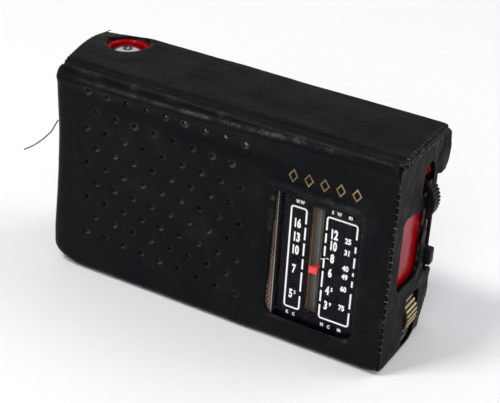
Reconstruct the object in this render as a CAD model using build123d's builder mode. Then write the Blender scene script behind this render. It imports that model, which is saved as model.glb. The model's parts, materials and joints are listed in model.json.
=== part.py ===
from build123d import *
import math
import os

# Transistor pocket radio in its leather carrying case.
# Frame: X to the right, Y to the back, Z up. The origin is under the middle of the case, on the
# surface that it stands on. Lengths are in millimetres, angles in degrees.

# ---------------------------------------------------------------- driving dimensions
CASE_LENGTH = 132.0
CASE_DEPTH = 40.0
CASE_HEIGHT = 80.0
LEATHER = 1.5
RADIO_GAP = 0.5
WALL = 1.8
PARTING_Y = -2.0

# the case's outer and inner faces
CASE_X = CASE_LENGTH / 2
CASE_Y = CASE_DEPTH / 2
INNER_X = CASE_X - LEATHER
INNER_Y = CASE_Y - LEATHER
INNER_LOW = LEATHER
INNER_HIGH = CASE_HEIGHT - LEATHER

# the radio's outer faces and its cavity
RADIO_X = INNER_X - RADIO_GAP
RADIO_Y = INNER_Y - RADIO_GAP
RADIO_LOW = INNER_LOW + RADIO_GAP
RADIO_HIGH = INNER_HIGH - RADIO_GAP
CAVITY_X = RADIO_X - WALL
CAVITY_Y = RADIO_Y - WALL
CAVITY_LOW = RADIO_LOW + WALL
CAVITY_HIGH = RADIO_HIGH - WALL
CORNER_RADIUS = 4.0
FRONT_EDGE_RADIUS = 1.6

# punched sound holes in the front leather: rows of nine and eight in turn, falling to the right
HOLE_ROWS = 9
HOLE_PITCH_X = 7.85
HOLE_PITCH_Z = 7.0
HOLE_FIRST_X = -53.2
HOLE_FIRST_Z = 73.3
HOLE_FALL_FIRST = 0.036
HOLE_FALL_MOST = 0.07
HOLE_RADIUS = 0.9

# dial window in the leather, and the dial behind it
WINDOW_LEFT_TOP = 23.0
WINDOW_LEFT_LOW = 21.2
WINDOW_RIGHT = 54.6
WINDOW_LOW = 9.5
WINDOW_HIGH = 58.6
DIAL_LEFT = 23.6
DIAL_RIGHT = 58.0
DIAL_LOW = 4.9
DIAL_HIGH = 63.0
DIAL_LEDGE = 1.2
GLASS_THICKNESS = 0.9
PLATE_THICKNESS = 0.9
SLOT_LEFT = 35.2
SLOT_RIGHT = 40.0
SLOT_LOW = 14.2
SLOT_HIGH = 55.4

# dial drive: one cord round the spindle, two pulleys and the drum; its left run carries the pointer
CORD_SIZE = 0.5
CORD_Y = -14.0
CORD_RUN_X = 37.65
POINTER_Z = 30.8
PULLEY_RADIUS = 1.75
PULLEY_X = CORD_RUN_X + PULLEY_RADIUS
UPPER_PULLEY_Z = 57.5
LOWER_PULLEY_Z = 10.0
DRUM_X, DRUM_Z = 50.8, 36.0
DRUM_RADIUS = 10.4
SPINDLE_X, SPINDLE_Z = 57.5, 12.0
SPINDLE_CORD_RADIUS = 3.0
CORD_CLEARANCE = 0.3
RUNNING_FIT = 0.06

# tuning wheel, at the lower right
TUNING_RADIUS = 9.6
TUNING_BACK = 8.0
TUNING_RIBS = 34
RIB_HEIGHT = 0.7

# volume wheel and band switch, at the right rear
VOLUME_X, VOLUME_Z = 58.5, 55.0
VOLUME_RADIUS = 10.0
VOLUME_FRONT, VOLUME_BACK = 7.5, 12.5
LEVER_FRONT, LEVER_BACK = 12.0, 15.0
LEVER_LOW, LEVER_HIGH = 29.0, 35.0
LEVER_TIP_X = 68.0
LEVER_TRAVEL = 5.0

# telescopic antenna, upright in the left rear corner
ANTENNA_X, ANTENNA_Y = -57.0, 10.8
ANTENNA_LOW, ANTENNA_HIGH = 12.0, 75.0
ANTENNA_RADII = [3.25, 2.85, 2.45, 2.05, 1.65, 1.20]
ANTENNA_WALL = 0.33
RECESS_RADIUS = 6.4
CUP_RADIUS = 7.2
RECESS_FLOOR = 74.5
WELL_RIGHT, WELL_FRONT, WELL_FLOOR = 48.5, 1.0, 73.6
TIP_RADIUS = 5.3
TIP_LOW, TIP_HIGH = 75.4, 78.0
TIP_DOME_RADIUS = 14.0
ANTENNA_HOLE_X, ANTENNA_HOLE_Y = -57.6, 9.9
ANTENNA_HOLE_RADIUS = 7.3

# loudspeaker, board, cells
SPEAKER_X, SPEAKER_Z = -24.0, 47.0
SPEAKER_RADIUS = 25.0
SPEAKER_OPENING_SIDES = 12
BOARD_FRONT, BOARD_BACK = 2.0, 3.6
BOARD_LEFT, BOARD_RIGHT = 6.0, 61.4
BOARD_LOW, BOARD_HIGH = 22.8, 74.0
CELL_RADIUS = 7.1
CELL_Z = 11.2
CELL_YS = (-8.0, 6.6)
CELL_LEFT, CELL_RIGHT = -46.5, 2.9

# screws that hold the two shells together: X and Z
SHELL_SCREWS = [(-59.0, 6.8), (-44.5, 72.9), (58.9, 72.9), (26.6, 6.8)]
BOARD_SCREWS = [(9.5, 27.0), (9.5, 61.0), (38.0, 26.5)]
ROD_Y, ROD_Z = 10.0, 70.0
ROD_RADIUS = 4.5

JACK_Y, JACK_Z = -9.0, 62.0
JACK_BORE_RADIUS = 1.8
JACK_DEPTH = 13.0

FLAP_TOP = 78.2
FLAP_LOW = 14.5
SNAP_XS = (-35.0, 35.0)
SNAP_Z = 8.0

os.makedirs("parts", exist_ok=True)


# ---------------------------------------------------------------- helpers
def block(x0, x1, y0, y1, z0, z1, mode=Mode.ADD):
    """Box between two opposite corners, in the part being built."""
    with Locations(((x0 + x1) / 2, (y0 + y1) / 2, (z0 + z1) / 2)):
        Box(x1 - x0, y1 - y0, z1 - z0, mode=mode)


def rod(axis, a, b, radius, start, stop, mode=Mode.ADD):
    """Cylinder along an axis; a and b are its other two coordinates, in x, y, z order."""
    middle = (start + stop) / 2
    place = {"x": (middle, a, b), "y": (a, middle, b), "z": (a, b, middle)}[axis]
    turn = {"x": (0, 90, 0), "y": (90, 0, 0), "z": (0, 0, 0)}[axis]
    with Locations(Location(place, turn)):
        Cylinder(radius, stop - start, mode=mode)


def save(part, name):
    """Label a finished piece and write its STEP file."""
    part.label = name
    export_step(part, f"parts/{name}.step")


def front_plane(y):
    """Plane at depth y whose sketch axes are X and Z; an extrusion from it goes to the front."""
    return Plane.XZ.offset(-y)


def end_plane(x):
    """Plane at x whose sketch axes are Y and Z; an extrusion from it goes to the right."""
    return Plane.YZ.offset(x)


# ---------------------------------------------------------------- leather case
with BuildPart() as case_front_panel:
    with BuildSketch(front_plane(-INNER_Y)):
        with Locations((0, CASE_HEIGHT / 2)):
            RectangleRounded(CASE_LENGTH, CASE_HEIGHT, 3.5)
        with BuildLine():
            window = [
                (WINDOW_LEFT_TOP, WINDOW_HIGH),
                (WINDOW_RIGHT, WINDOW_HIGH),
                (WINDOW_RIGHT, WINDOW_LOW),
                (WINDOW_LEFT_LOW, WINDOW_LOW),
            ]
            FilletPolyline(*window, radius=[1.5, 2.5, 4.0, 4.0], close=True)
        make_face(mode=Mode.SUBTRACT)
        for row in range(HOLE_ROWS):
            count = 9 - row % 2
            fall = min(HOLE_FALL_MOST, HOLE_FALL_FIRST + 0.017 * row)
            for column in range(count):
                x = HOLE_FIRST_X + (column + 0.5 * (row % 2)) * HOLE_PITCH_X
                z = HOLE_FIRST_Z - row * HOLE_PITCH_Z - fall * (x - HOLE_FIRST_X)
                with Locations((x, z)):
                    Circle(HOLE_RADIUS, mode=Mode.SUBTRACT)
    extrude(amount=LEATHER)
save(case_front_panel.part, "case_front_panel")

with BuildPart() as case_top_panel:
    block(-CASE_X, CASE_X, -INNER_Y, CASE_Y, INNER_HIGH, CASE_HEIGHT)
    rod("z", ANTENNA_HOLE_X, ANTENNA_HOLE_Y, ANTENNA_HOLE_RADIUS, INNER_HIGH, CASE_HEIGHT, Mode.SUBTRACT)
save(case_top_panel.part, "case_top_panel")

with BuildPart() as case_bottom_panel:
    block(-CASE_X, CASE_X, -INNER_Y, CASE_Y, 0, INNER_LOW)
save(case_bottom_panel.part, "case_bottom_panel")

with BuildPart() as case_left_end_panel:
    block(-CASE_X, -INNER_X, -INNER_Y, CASE_Y, INNER_LOW, INNER_HIGH)
    rod("x", JACK_Y, JACK_Z, 4.5, -CASE_X, -INNER_X, Mode.SUBTRACT)
save(case_left_end_panel.part, "case_left_end_panel")

# The right end leaves the dial's end of the radio free: a round opening at the top, a large one in
# the middle, a slot for the tuning wheel, and a rear edge cut away round volume wheel and switch.
with BuildPart() as case_right_end_panel:
    with BuildSketch(end_plane(INNER_X)):
        with BuildLine():
            outline = [
                (-INNER_Y, INNER_LOW),
                (16.2, INNER_LOW),
                (19.0, 15.0),
                (18.6, 25.0),
                (10.4, 26.2),
                (10.4, 41.6),
                (8.6, 45.0),
                (6.8, 48.5),
                (6.8, 60.5),
                (12.0, 63.6),
                (CASE_Y, 62.6),
                (CASE_Y, INNER_HIGH),
                (-INNER_Y, INNER_HIGH),
            ]
            Polyline(*outline, close=True)
        make_face()
        with Locations((6.0, 64.5)):
            Ellipse(5.0, 6.5, mode=Mode.SUBTRACT)
        with BuildLine():
            side_opening = [(-12.0, 29.0), (5.0, 29.0), (5.0, 46.5), (7.2, 50.0), (7.2, 53.4), (-12.0, 57.0)]
            FilletPolyline(*side_opening, radius=[3.0, 3.0, 2.0, 0.5, 0.3, 3.0], close=True)
        make_face(mode=Mode.SUBTRACT)
        with BuildLine():
            wheel_slot = [(-0.8, INNER_LOW), (-0.8, 20.5), (8.8, 20.5), (8.8, INNER_LOW)]
            Polyline(*wheel_slot, close=True)
        make_face(mode=Mode.SUBTRACT)
    extrude(amount=LEATHER)
save(case_right_end_panel.part, "case_right_end_panel")

# The back is one flap that hangs from the top edge; two tabs close it over the studs in the hem.
FLAP_HALF = INNER_X - 0.3
TAB_FRONT, TAB_BACK = CASE_Y + 0.3, CASE_Y + 0.3 + LEATHER
TAB_HALF = 6.5
TAB_TOP = 22.0
with BuildPart() as case_back_flap:
    block(-FLAP_HALF, FLAP_HALF, INNER_Y, CASE_Y, FLAP_LOW, FLAP_TOP)
    for x in SNAP_XS:
        block(x - TAB_HALF, x + TAB_HALF, CASE_Y, CASE_Y + 0.3, FLAP_LOW, TAB_TOP)
        with BuildSketch(front_plane(TAB_BACK)):
            with Locations((x, (SNAP_Z + TAB_TOP) / 2)):
                Rectangle(2 * TAB_HALF, TAB_TOP - SNAP_Z)
            with Locations((x, SNAP_Z)):
                Circle(TAB_HALF)
            with Locations((x, SNAP_Z)):
                Circle(2.4, mode=Mode.SUBTRACT)
        extrude(amount=LEATHER)
save(case_back_flap.part, "case_back_flap")

with BuildPart() as snap_caps:
    for x in SNAP_XS:
        rod("y", x, SNAP_Z, 5.0, TAB_BACK, TAB_BACK + 0.9)
    fillet(snap_caps.faces().sort_by(Axis.Y)[-2:].edges(), radius=0.5)
save(snap_caps.part, "snap_caps")

with BuildPart() as snap_studs:
    for x in SNAP_XS:
        rod("y", x, SNAP_Z, 3.2, RADIO_Y + 0.1, INNER_Y)
        rod("y", x, SNAP_Z, 1.9, INNER_Y, CASE_Y + 1.4)
save(snap_studs.part, "snap_studs")

# the studs' shanks pass through holes in the hem
with BuildPart() as case_back_hem:
    block(-INNER_X, INNER_X, INNER_Y, CASE_Y, INNER_LOW, FLAP_LOW - 0.5)
    for x in SNAP_XS:
        rod("y", x, SNAP_Z, 1.95, INNER_Y, CASE_Y, Mode.SUBTRACT)
save(case_back_hem.part, "case_back_hem")

# Seam thread: short stitches over the top seam of each end and down the front edges of the ends.
STITCH = 0.4
TOP_STITCH_PITCH = 2.4
SIDE_STITCH_PITCH = 3.2
with BuildPart() as case_stitches:
    for side in (-1, 1):
        outer = side * (CASE_X + STITCH / 2)
        for i in range(15):
            y = -17.0 + i * TOP_STITCH_PITCH
            with Locations((outer, y, INNER_HIGH - 0.2)):
                Box(STITCH, 0.8, 2.0)
        for i in range(22):
            z = 4.0 + i * SIDE_STITCH_PITCH
            with Locations((outer, -INNER_Y + 1.0, z)):
                Box(STITCH, 0.6, 1.9)
save(case_stitches.part, "case_stitches")

# A row of gold foil lozenge outlines over the dial window.
FOIL = 0.08
FOIL_LEFT, FOIL_PITCH, FOIL_Z = 28.9, 5.8, 66.2
FOIL_HALF_WIDTH, FOIL_HALF_HEIGHT, FOIL_STROKE = 1.8, 2.5, 0.6
with BuildPart() as foil_ornament:
    with BuildSketch(front_plane(-CASE_Y)):
        for i in range(5):
            with Locations((FOIL_LEFT + FOIL_PITCH * i, FOIL_Z)):
                for trim, mode in ((0, Mode.ADD), (FOIL_STROKE, Mode.SUBTRACT)):
                    wide = FOIL_HALF_WIDTH - trim
                    tall = FOIL_HALF_HEIGHT - trim * FOIL_HALF_HEIGHT / FOIL_HALF_WIDTH
                    Polygon((wide, 0), (0, tall), (-wide, 0), (0, -tall), mode=mode)
    extrude(amount=FOIL)
save(foil_ornament.part, "foil_ornament")

# A loose end of seam thread, 0.5 mm thick, that hangs from the left front edge.
THREAD_DIAMETER = 0.5
THREAD_ROUTE = [
    (-66.2, -19.3, 58.1),
    (-68.8, -18.1, 54.4),
    (-70.9, -16.9, 51.2),
    (-73.5, -15.6, 48.6),
    (-76.7, -14.4, 45.3),
    (-79.6, -13.2, 42.7),
    (-82.7, -11.9, 40.0),
    (-85.9, -10.7, 37.6),
    (-89.1, -9.5, 35.3),
]


def corner_radii(points):
    """The largest even arc at each inner point of a route."""
    radii = []
    for before, at, after in zip(points, points[1:], points[2:]):
        run_in = Vector(*at) - Vector(*before)
        run_out = Vector(*after) - Vector(*at)
        half_turn = math.radians(run_in.get_angle(run_out)) / 2
        radii.append(0.45 * min(run_in.length, run_out.length) / math.tan(half_turn))
    return radii


thread_radii = corner_radii(THREAD_ROUTE)
print("thread radii", [round(radius, 1) for radius in thread_radii])
with BuildPart() as loose_thread:
    with BuildLine() as thread_line:
        FilletPolyline(*THREAD_ROUTE, radius=thread_radii)
    with BuildSketch(Plane(thread_line.line @ 0, z_dir=thread_line.line % 0)):
        Circle(THREAD_DIAMETER / 2)
    sweep()
thread_length = sum(edge.length for edge in thread_line.edges())
print("thread length", round(thread_length, 2), "volume / expected",
      round(loose_thread.part.volume / (math.pi * THREAD_DIAMETER**2 / 4 * thread_length), 4))
save(loose_thread.part, "loose_thread")

# ---------------------------------------------------------------- radio housing
GRILLE_LEFT, GRILLE_RIGHT = -61.0, 23.4
GRILLE_LOW, GRILLE_HIGH = 5.5, 74.5
GRILLE_SHEET = 0.5
BOSS_RADIUS = 3.6
PILOT_RADIUS = 1.35
LEDGE_BACK = -15.0
with BuildPart() as front_shell:
    block(-RADIO_X, RADIO_X, -RADIO_Y, PARTING_Y, RADIO_LOW, RADIO_HIGH)
    fillet(front_shell.edges().filter_by(Axis.Y), radius=CORNER_RADIUS)
    fillet(front_shell.faces().sort_by(Axis.Y)[0].edges(), radius=FRONT_EDGE_RADIUS)
    with BuildSketch(front_plane(PARTING_Y)):
        with Locations((0, (CAVITY_LOW + CAVITY_HIGH) / 2)):
            RectangleRounded(2 * CAVITY_X, CAVITY_HIGH - CAVITY_LOW, CORNER_RADIUS - WALL)
    extrude(amount=PARTING_Y + CAVITY_Y, mode=Mode.SUBTRACT)
    # dial opening with its ledge
    block(DIAL_LEFT - WALL, DIAL_RIGHT + WALL, -CAVITY_Y, LEDGE_BACK, CAVITY_LOW, DIAL_HIGH + WALL)
    block(DIAL_LEFT, DIAL_RIGHT, -RADIO_Y, -CAVITY_Y, DIAL_LOW, DIAL_HIGH, Mode.SUBTRACT)
    block(
        DIAL_LEFT + DIAL_LEDGE, DIAL_RIGHT - DIAL_LEDGE, -CAVITY_Y, LEDGE_BACK,
        DIAL_LOW + DIAL_LEDGE, DIAL_HIGH - DIAL_LEDGE, Mode.SUBTRACT,
    )
    # recess for the grille sheet, and the sound opening behind it
    block(
        GRILLE_LEFT, GRILLE_RIGHT, -RADIO_Y, -RADIO_Y + GRILLE_SHEET + 0.1,
        GRILLE_LOW, GRILLE_HIGH, Mode.SUBTRACT,
    )
    with BuildSketch(front_plane(-RADIO_Y)):
        with Locations((SPEAKER_X, SPEAKER_Z)):
            RegularPolygon(SPEAKER_RADIUS - 3, SPEAKER_OPENING_SIDES)
    extrude(amount=-WALL, mode=Mode.SUBTRACT)
    for x, z in SHELL_SCREWS:
        rod("y", x, z, BOSS_RADIUS, -CAVITY_Y, PARTING_Y)
        rod("y", x, z, PILOT_RADIUS, -13.0, PARTING_Y, Mode.SUBTRACT)
    # clearance for the jack's barrel in the left wall
    rod("x", JACK_Y, JACK_Z, 3.2, -RADIO_X, -CAVITY_X, Mode.SUBTRACT)
save(front_shell.part, "front_shell")

WHEEL_GAP = 0.6
DOOR_LEFT, DOOR_RIGHT = -50.0, 2.6
DOOR_LOW, DOOR_HIGH = 4.4, 18.4
COMPARTMENT_LEFT, COMPARTMENT_RIGHT = -51.4, 4.4
HEAD_POCKET_RADIUS = 2.7
HEAD_SEAT_Y = 6.0
with BuildPart() as rear_shell:
    block(-RADIO_X, RADIO_X, PARTING_Y, RADIO_Y, RADIO_LOW, RADIO_HIGH)
    fillet(rear_shell.edges().filter_by(Axis.Y), radius=CORNER_RADIUS)
    fillet(rear_shell.faces().sort_by(Axis.Y)[-1].edges(), radius=CORNER_RADIUS - 0.2)
    with BuildSketch(front_plane(CAVITY_Y)):
        with Locations((0, (CAVITY_LOW + CAVITY_HIGH) / 2)):
            RectangleRounded(2 * CAVITY_X, CAVITY_HIGH - CAVITY_LOW, CORNER_RADIUS - WALL)
    extrude(amount=CAVITY_Y - PARTING_Y, mode=Mode.SUBTRACT)
    # solid corner with the cup that the antenna's tip sinks into, and the tube's hole in its floor
    rod("z", ANTENNA_X, ANTENNA_Y, CUP_RADIUS, RECESS_FLOOR - 1.5, RADIO_HIGH)
    block(-RADIO_X, -WELL_RIGHT, WELL_FRONT, RADIO_Y, WELL_FLOOR, RADIO_HIGH)
    block(-RADIO_X, RADIO_X, PARTING_Y, RADIO_Y, RADIO_LOW, RADIO_HIGH, Mode.INTERSECT)
    rod("z", ANTENNA_X, ANTENNA_Y, RECESS_RADIUS, RECESS_FLOOR, RADIO_HIGH, Mode.SUBTRACT)
    rod("z", ANTENNA_X, ANTENNA_Y, ANTENNA_RADII[0] + 0.02, 70, RECESS_FLOOR, Mode.SUBTRACT)
    # walls of the battery compartment
    for x in (COMPARTMENT_LEFT - 1.2, COMPARTMENT_RIGHT):
        block(x, x + 1.2, PARTING_Y, CAVITY_Y, CAVITY_LOW, 20.0)
    block(COMPARTMENT_LEFT, COMPARTMENT_RIGHT, PARTING_Y, CAVITY_Y, 18.8, 20.0)
    block(DOOR_LEFT, DOOR_RIGHT, CAVITY_Y, RADIO_Y, DOOR_LOW, DOOR_HIGH, Mode.SUBTRACT)
    # slots for the wheels and the lever
    block(51.6, RADIO_X, -WHEEL_GAP, TUNING_BACK + WHEEL_GAP, RADIO_LOW, 21.2, Mode.SUBTRACT)
    block(
        CAVITY_X, RADIO_X, VOLUME_FRONT - WHEEL_GAP, VOLUME_BACK + WHEEL_GAP,
        44.6, 65.4, Mode.SUBTRACT,
    )
    block(
        CAVITY_X, RADIO_X, LEVER_FRONT - WHEEL_GAP, LEVER_BACK + WHEEL_GAP,
        LEVER_LOW - WHEEL_GAP, LEVER_HIGH + LEVER_TRAVEL + WHEEL_GAP, Mode.SUBTRACT,
    )
    # screw bosses, with the heads sunk from the back
    for x, z in SHELL_SCREWS:
        rod("y", x, z, BOSS_RADIUS, PARTING_Y, CAVITY_Y)
        rod("y", x, z, 1.5, PARTING_Y, HEAD_SEAT_Y, Mode.SUBTRACT)
        rod("y", x, z, HEAD_POCKET_RADIUS, HEAD_SEAT_Y, RADIO_Y, Mode.SUBTRACT)
    # posts that carry the circuit board, and the rear bearing of the tuning spindle
    for x, z in BOARD_SCREWS:
        rod("y", x, z, 2.4, BOARD_BACK, CAVITY_Y)
        rod("y", x, z, 1.0, BOARD_BACK, BOARD_BACK + 6, Mode.SUBTRACT)
    rod("y", SPINDLE_X, SPINDLE_Z, 4.0, 9.2, CAVITY_Y)
    rod("y", SPINDLE_X, SPINDLE_Z, 2.0 + RUNNING_FIT, 9.2, 13.0, Mode.SUBTRACT)
save(rear_shell.part, "rear_shell")

with BuildPart() as battery_door:
    block(DOOR_LEFT + 0.3, DOOR_RIGHT - 0.3, CAVITY_Y, RADIO_Y, DOOR_LOW + 0.3, DOOR_HIGH - 0.3)
    for x in (-42.0, -8.0):
        block(x, x + 7, CAVITY_Y - 1.2, CAVITY_Y - 0.1, DOOR_HIGH - 4, DOOR_HIGH + 0.3)
        block(x, x + 7, CAVITY_Y - 0.1, CAVITY_Y, DOOR_HIGH - 4, DOOR_HIGH - 0.3)
    with Locations((-23.7, RADIO_Y, DOOR_LOW + 3)):
        with GridLocations(1.6, 1, 7, 1):
            Box(0.8, 0.5, 3.5, mode=Mode.SUBTRACT)
save(battery_door.part, "battery_door")

with BuildPart() as shell_screws:
    for x, z in SHELL_SCREWS:
        rod("y", x, z, 1.25, -12.5, HEAD_SEAT_Y)
        rod("y", x, z, 2.4, HEAD_SEAT_Y, HEAD_SEAT_Y + 1.8)
        block(x - 1.9, x + 1.9, HEAD_SEAT_Y + 1.0, HEAD_SEAT_Y + 1.8, z - 0.3, z + 0.3, Mode.SUBTRACT)
save(shell_screws.part, "shell_screws")

# ---------------------------------------------------------------- grille, window and dial
with BuildPart() as speaker_grille:
    with BuildSketch(front_plane(-RADIO_Y + GRILLE_SHEET + 0.1)):
        with Locations(((GRILLE_LEFT + GRILLE_RIGHT) / 2, (GRILLE_LOW + GRILLE_HIGH) / 2)):
            Rectangle(GRILLE_RIGHT - GRILLE_LEFT - 0.2, GRILLE_HIGH - GRILLE_LOW - 0.2)
        with Locations((SPEAKER_X, SPEAKER_Z)):
            with HexLocations(2.1, 10, 11):
                Circle(1.1, mode=Mode.SUBTRACT)
    extrude(amount=GRILLE_SHEET)
save(speaker_grille.part, "speaker_grille")

PLAY = 0.1
with BuildPart() as dial_window:
    block(
        DIAL_LEFT + PLAY, DIAL_RIGHT - PLAY, -RADIO_Y, -RADIO_Y + GLASS_THICKNESS,
        DIAL_LOW + PLAY, DIAL_HIGH - PLAY,
    )
save(dial_window.part, "dial_window")

PLATE_FRONT = -RADIO_Y + GLASS_THICKNESS
PLATE_BACK = PLATE_FRONT + PLATE_THICKNESS
with BuildPart() as dial_scale_plate:
    block(DIAL_LEFT + PLAY, DIAL_RIGHT - PLAY, PLATE_FRONT, PLATE_BACK, DIAL_LOW + PLAY, DIAL_HIGH - PLAY)
    block(SLOT_LEFT, SLOT_RIGHT, PLATE_FRONT, PLATE_BACK, SLOT_LOW, SLOT_HIGH, Mode.SUBTRACT)
save(dial_scale_plate.part, "dial_scale_plate")

GUIDE_FRONT = -12.6
with BuildPart() as pointer_guide_plate:
    block(31.5, 46.4, GUIDE_FRONT, GUIDE_FRONT + 0.6, 5.0, 62.0)
    for x, z in [(33.0, 8.0), (33.0, 59.5), (44.8, 60.6)]:
        rod("y", x, z, 1.0, PLATE_BACK, GUIDE_FRONT)
    for z in (LOWER_PULLEY_Z, UPPER_PULLEY_Z):
        rod("y", PULLEY_X, z, 0.8, -15.4, GUIDE_FRONT)
save(pointer_guide_plate.part, "pointer_guide_plate")

# The pointer is a flat bar on a small carriage that the cord runs through.
POINTER_HALF_HEIGHT = 1.25
CARRIAGE_HALF_WIDTH = 1.05
CORD_CHANNEL = 0.55
with BuildPart() as pointer:
    block(35.6, 38.8, -16.6, -16.0, POINTER_Z - POINTER_HALF_HEIGHT, POINTER_Z + POINTER_HALF_HEIGHT)
    block(
        CORD_RUN_X - CARRIAGE_HALF_WIDTH, CORD_RUN_X + CARRIAGE_HALF_WIDTH, -16.0, CORD_Y + 1.0,
        POINTER_Z - 1.0, POINTER_Z + 1.0,
    )
    block(
        CORD_RUN_X - CORD_CHANNEL, CORD_RUN_X + CORD_CHANNEL, CORD_Y - CORD_CHANNEL, CORD_Y + CORD_CHANNEL,
        POINTER_Z - 1.0, POINTER_Z + 1.0, Mode.SUBTRACT,
    )
save(pointer.part, "pointer")


def cord_outline(grow):
    """The cord's tight loop round spindle, pulleys and drum, at its centre line plus grow."""
    turns = [
        (PULLEY_X, UPPER_PULLEY_Z, PULLEY_RADIUS),
        (PULLEY_X, LOWER_PULLEY_Z, PULLEY_RADIUS),
        (SPINDLE_X, SPINDLE_Z, SPINDLE_CORD_RADIUS),
        (DRUM_X, DRUM_Z, DRUM_RADIUS),
    ]
    return [Edge.make_circle(r + grow, Plane((x, z, 0))) for x, z, r in turns]


with BuildPart() as dial_cord:
    with BuildSketch(front_plane(CORD_Y + CORD_SIZE / 2)):
        make_hull(cord_outline(CORD_SIZE / 2))
    extrude(amount=CORD_SIZE)
    with BuildSketch(front_plane(CORD_Y + CORD_SIZE / 2)):
        make_hull(cord_outline(-CORD_SIZE / 2))
    extrude(amount=CORD_SIZE, mode=Mode.SUBTRACT)
save(dial_cord.part, "dial_cord")


def grooved_wheel(x, z, cord_radius, flange, y_half, bore, groove_half=0.45):
    """Wheel on a Y axis with a square groove for the cord; flange is how far its rims stand up."""
    bottom = cord_radius - CORD_SIZE / 2 - CORD_CLEARANCE
    rod("y", x, z, bottom + flange, CORD_Y - y_half, CORD_Y - groove_half)
    rod("y", x, z, bottom + flange, CORD_Y + groove_half, CORD_Y + y_half)
    rod("y", x, z, bottom, CORD_Y - groove_half, CORD_Y + groove_half)
    if bore:
        rod("y", x, z, bore, CORD_Y - y_half, CORD_Y + y_half, Mode.SUBTRACT)


with BuildPart() as upper_pulley:
    grooved_wheel(PULLEY_X, UPPER_PULLEY_Z, PULLEY_RADIUS, 1.2, 0.95, 0.8 + RUNNING_FIT)
save(upper_pulley.part, "upper_pulley")

with BuildPart() as lower_pulley:
    grooved_wheel(PULLEY_X, LOWER_PULLEY_Z, PULLEY_RADIUS, 1.2, 0.95, 0.8 + RUNNING_FIT)
save(lower_pulley.part, "lower_pulley")

DRUM_SHAFT_RADIUS = 3.0
CAPACITOR_FRONT = -10.0
with BuildPart() as cord_drum:
    grooved_wheel(DRUM_X, DRUM_Z, DRUM_RADIUS, 1.1, 0.95, DRUM_SHAFT_RADIUS)
    with Locations((DRUM_X, CORD_Y, DRUM_Z + 6.4)):
        Box(3.0, 3.0, 2.2, mode=Mode.SUBTRACT)
save(cord_drum.part, "cord_drum")

with BuildPart() as tuning_shaft:
    rod("y", DRUM_X, DRUM_Z, DRUM_SHAFT_RADIUS, CORD_Y - 0.95, CAPACITOR_FRONT + 4)
    block(DRUM_X - 0.4, DRUM_X + 0.4, CORD_Y - 0.95, CORD_Y - 0.3, DRUM_Z - 3, DRUM_Z + 3, Mode.SUBTRACT)
save(tuning_shaft.part, "tuning_shaft")

with BuildPart() as tuning_capacitor:
    block(DRUM_X - 10, DRUM_X + 10, CAPACITOR_FRONT, BOARD_FRONT, DRUM_Z - 10, DRUM_Z + 10)
    chamfer(tuning_capacitor.edges().filter_by(Axis.Y), length=1.0)
    bearing = DRUM_SHAFT_RADIUS + RUNNING_FIT
    rod("y", DRUM_X, DRUM_Z, bearing, CAPACITOR_FRONT, CAPACITOR_FRONT + 4.4, Mode.SUBTRACT)
    for x, z in [(-6.5, -6.5), (6.5, 6.5)]:
        rod("y", DRUM_X + x, DRUM_Z + z, 1.6, CAPACITOR_FRONT, CAPACITOR_FRONT + 0.6, Mode.SUBTRACT)
save(tuning_capacitor.part, "tuning_capacitor")

# ---------------------------------------------------------------- tuning wheel and spindle
RIM_INNER = TUNING_RADIUS - 2.2
SPINDLE_RADIUS = 2.0
with BuildPart() as tuning_wheel_rim:
    with BuildSketch(front_plane(TUNING_BACK)):
        with Locations((SPINDLE_X, SPINDLE_Z)):
            Circle(TUNING_RADIUS - RIB_HEIGHT)
            with PolarLocations(TUNING_RADIUS - RIB_HEIGHT, TUNING_RIBS):
                Rectangle(2 * RIB_HEIGHT, 0.9)
            Circle(RIM_INNER, mode=Mode.SUBTRACT)
    extrude(amount=TUNING_BACK)
save(tuning_wheel_rim.part, "tuning_wheel_rim")

with BuildPart() as tuning_wheel_core:
    rod("y", SPINDLE_X, SPINDLE_Z, RIM_INNER, 1.0, TUNING_BACK - 1.0)
    rod("y", SPINDLE_X, SPINDLE_Z, 4.0, 0.0, TUNING_BACK)
    rod("y", SPINDLE_X, SPINDLE_Z, SPINDLE_RADIUS, 0.0, TUNING_BACK, Mode.SUBTRACT)
save(tuning_wheel_core.part, "tuning_wheel_core")

with BuildPart() as tuning_spindle:
    rod("y", SPINDLE_X, SPINDLE_Z, SPINDLE_RADIUS, LEDGE_BACK + 0.15, 12.6)
    collar = SPINDLE_CORD_RADIUS - CORD_SIZE / 2 - CORD_CLEARANCE
    rod("y", SPINDLE_X, SPINDLE_Z, collar, CORD_Y - 0.8, CORD_Y + 0.8)
save(tuning_spindle.part, "tuning_spindle")

with BuildPart() as spindle_bracket:
    block(52.6, CAVITY_X, -11.2, -9.2, CAVITY_LOW, 16.0)
    upright = spindle_bracket.edges().filter_by(Axis.Y)
    upper_left = upright.group_by(Axis.Z)[-1].sort_by(Axis.X)[0]
    lower_right = upright.group_by(Axis.Z)[0].sort_by(Axis.X)[-1]
    fillet([upper_left, lower_right], radius=2.6)
    rod("y", SPINDLE_X, SPINDLE_Z, SPINDLE_RADIUS + RUNNING_FIT, -11.2, -9.2, Mode.SUBTRACT)
save(spindle_bracket.part, "spindle_bracket")

# ---------------------------------------------------------------- volume control and band switch
KNURLS = 44
with BuildPart() as volume_wheel:
    with BuildSketch(front_plane(VOLUME_BACK)):
        with Locations((VOLUME_X, VOLUME_Z)):
            Circle(VOLUME_RADIUS - 0.4)
            with PolarLocations(VOLUME_RADIUS - 0.4, KNURLS):
                Rectangle(0.8, 0.7)
    extrude(amount=VOLUME_BACK - VOLUME_FRONT)
    rod("y", VOLUME_X, VOLUME_Z, 2.5, 4.6, VOLUME_FRONT)
save(volume_wheel.part, "volume_wheel")

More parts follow.
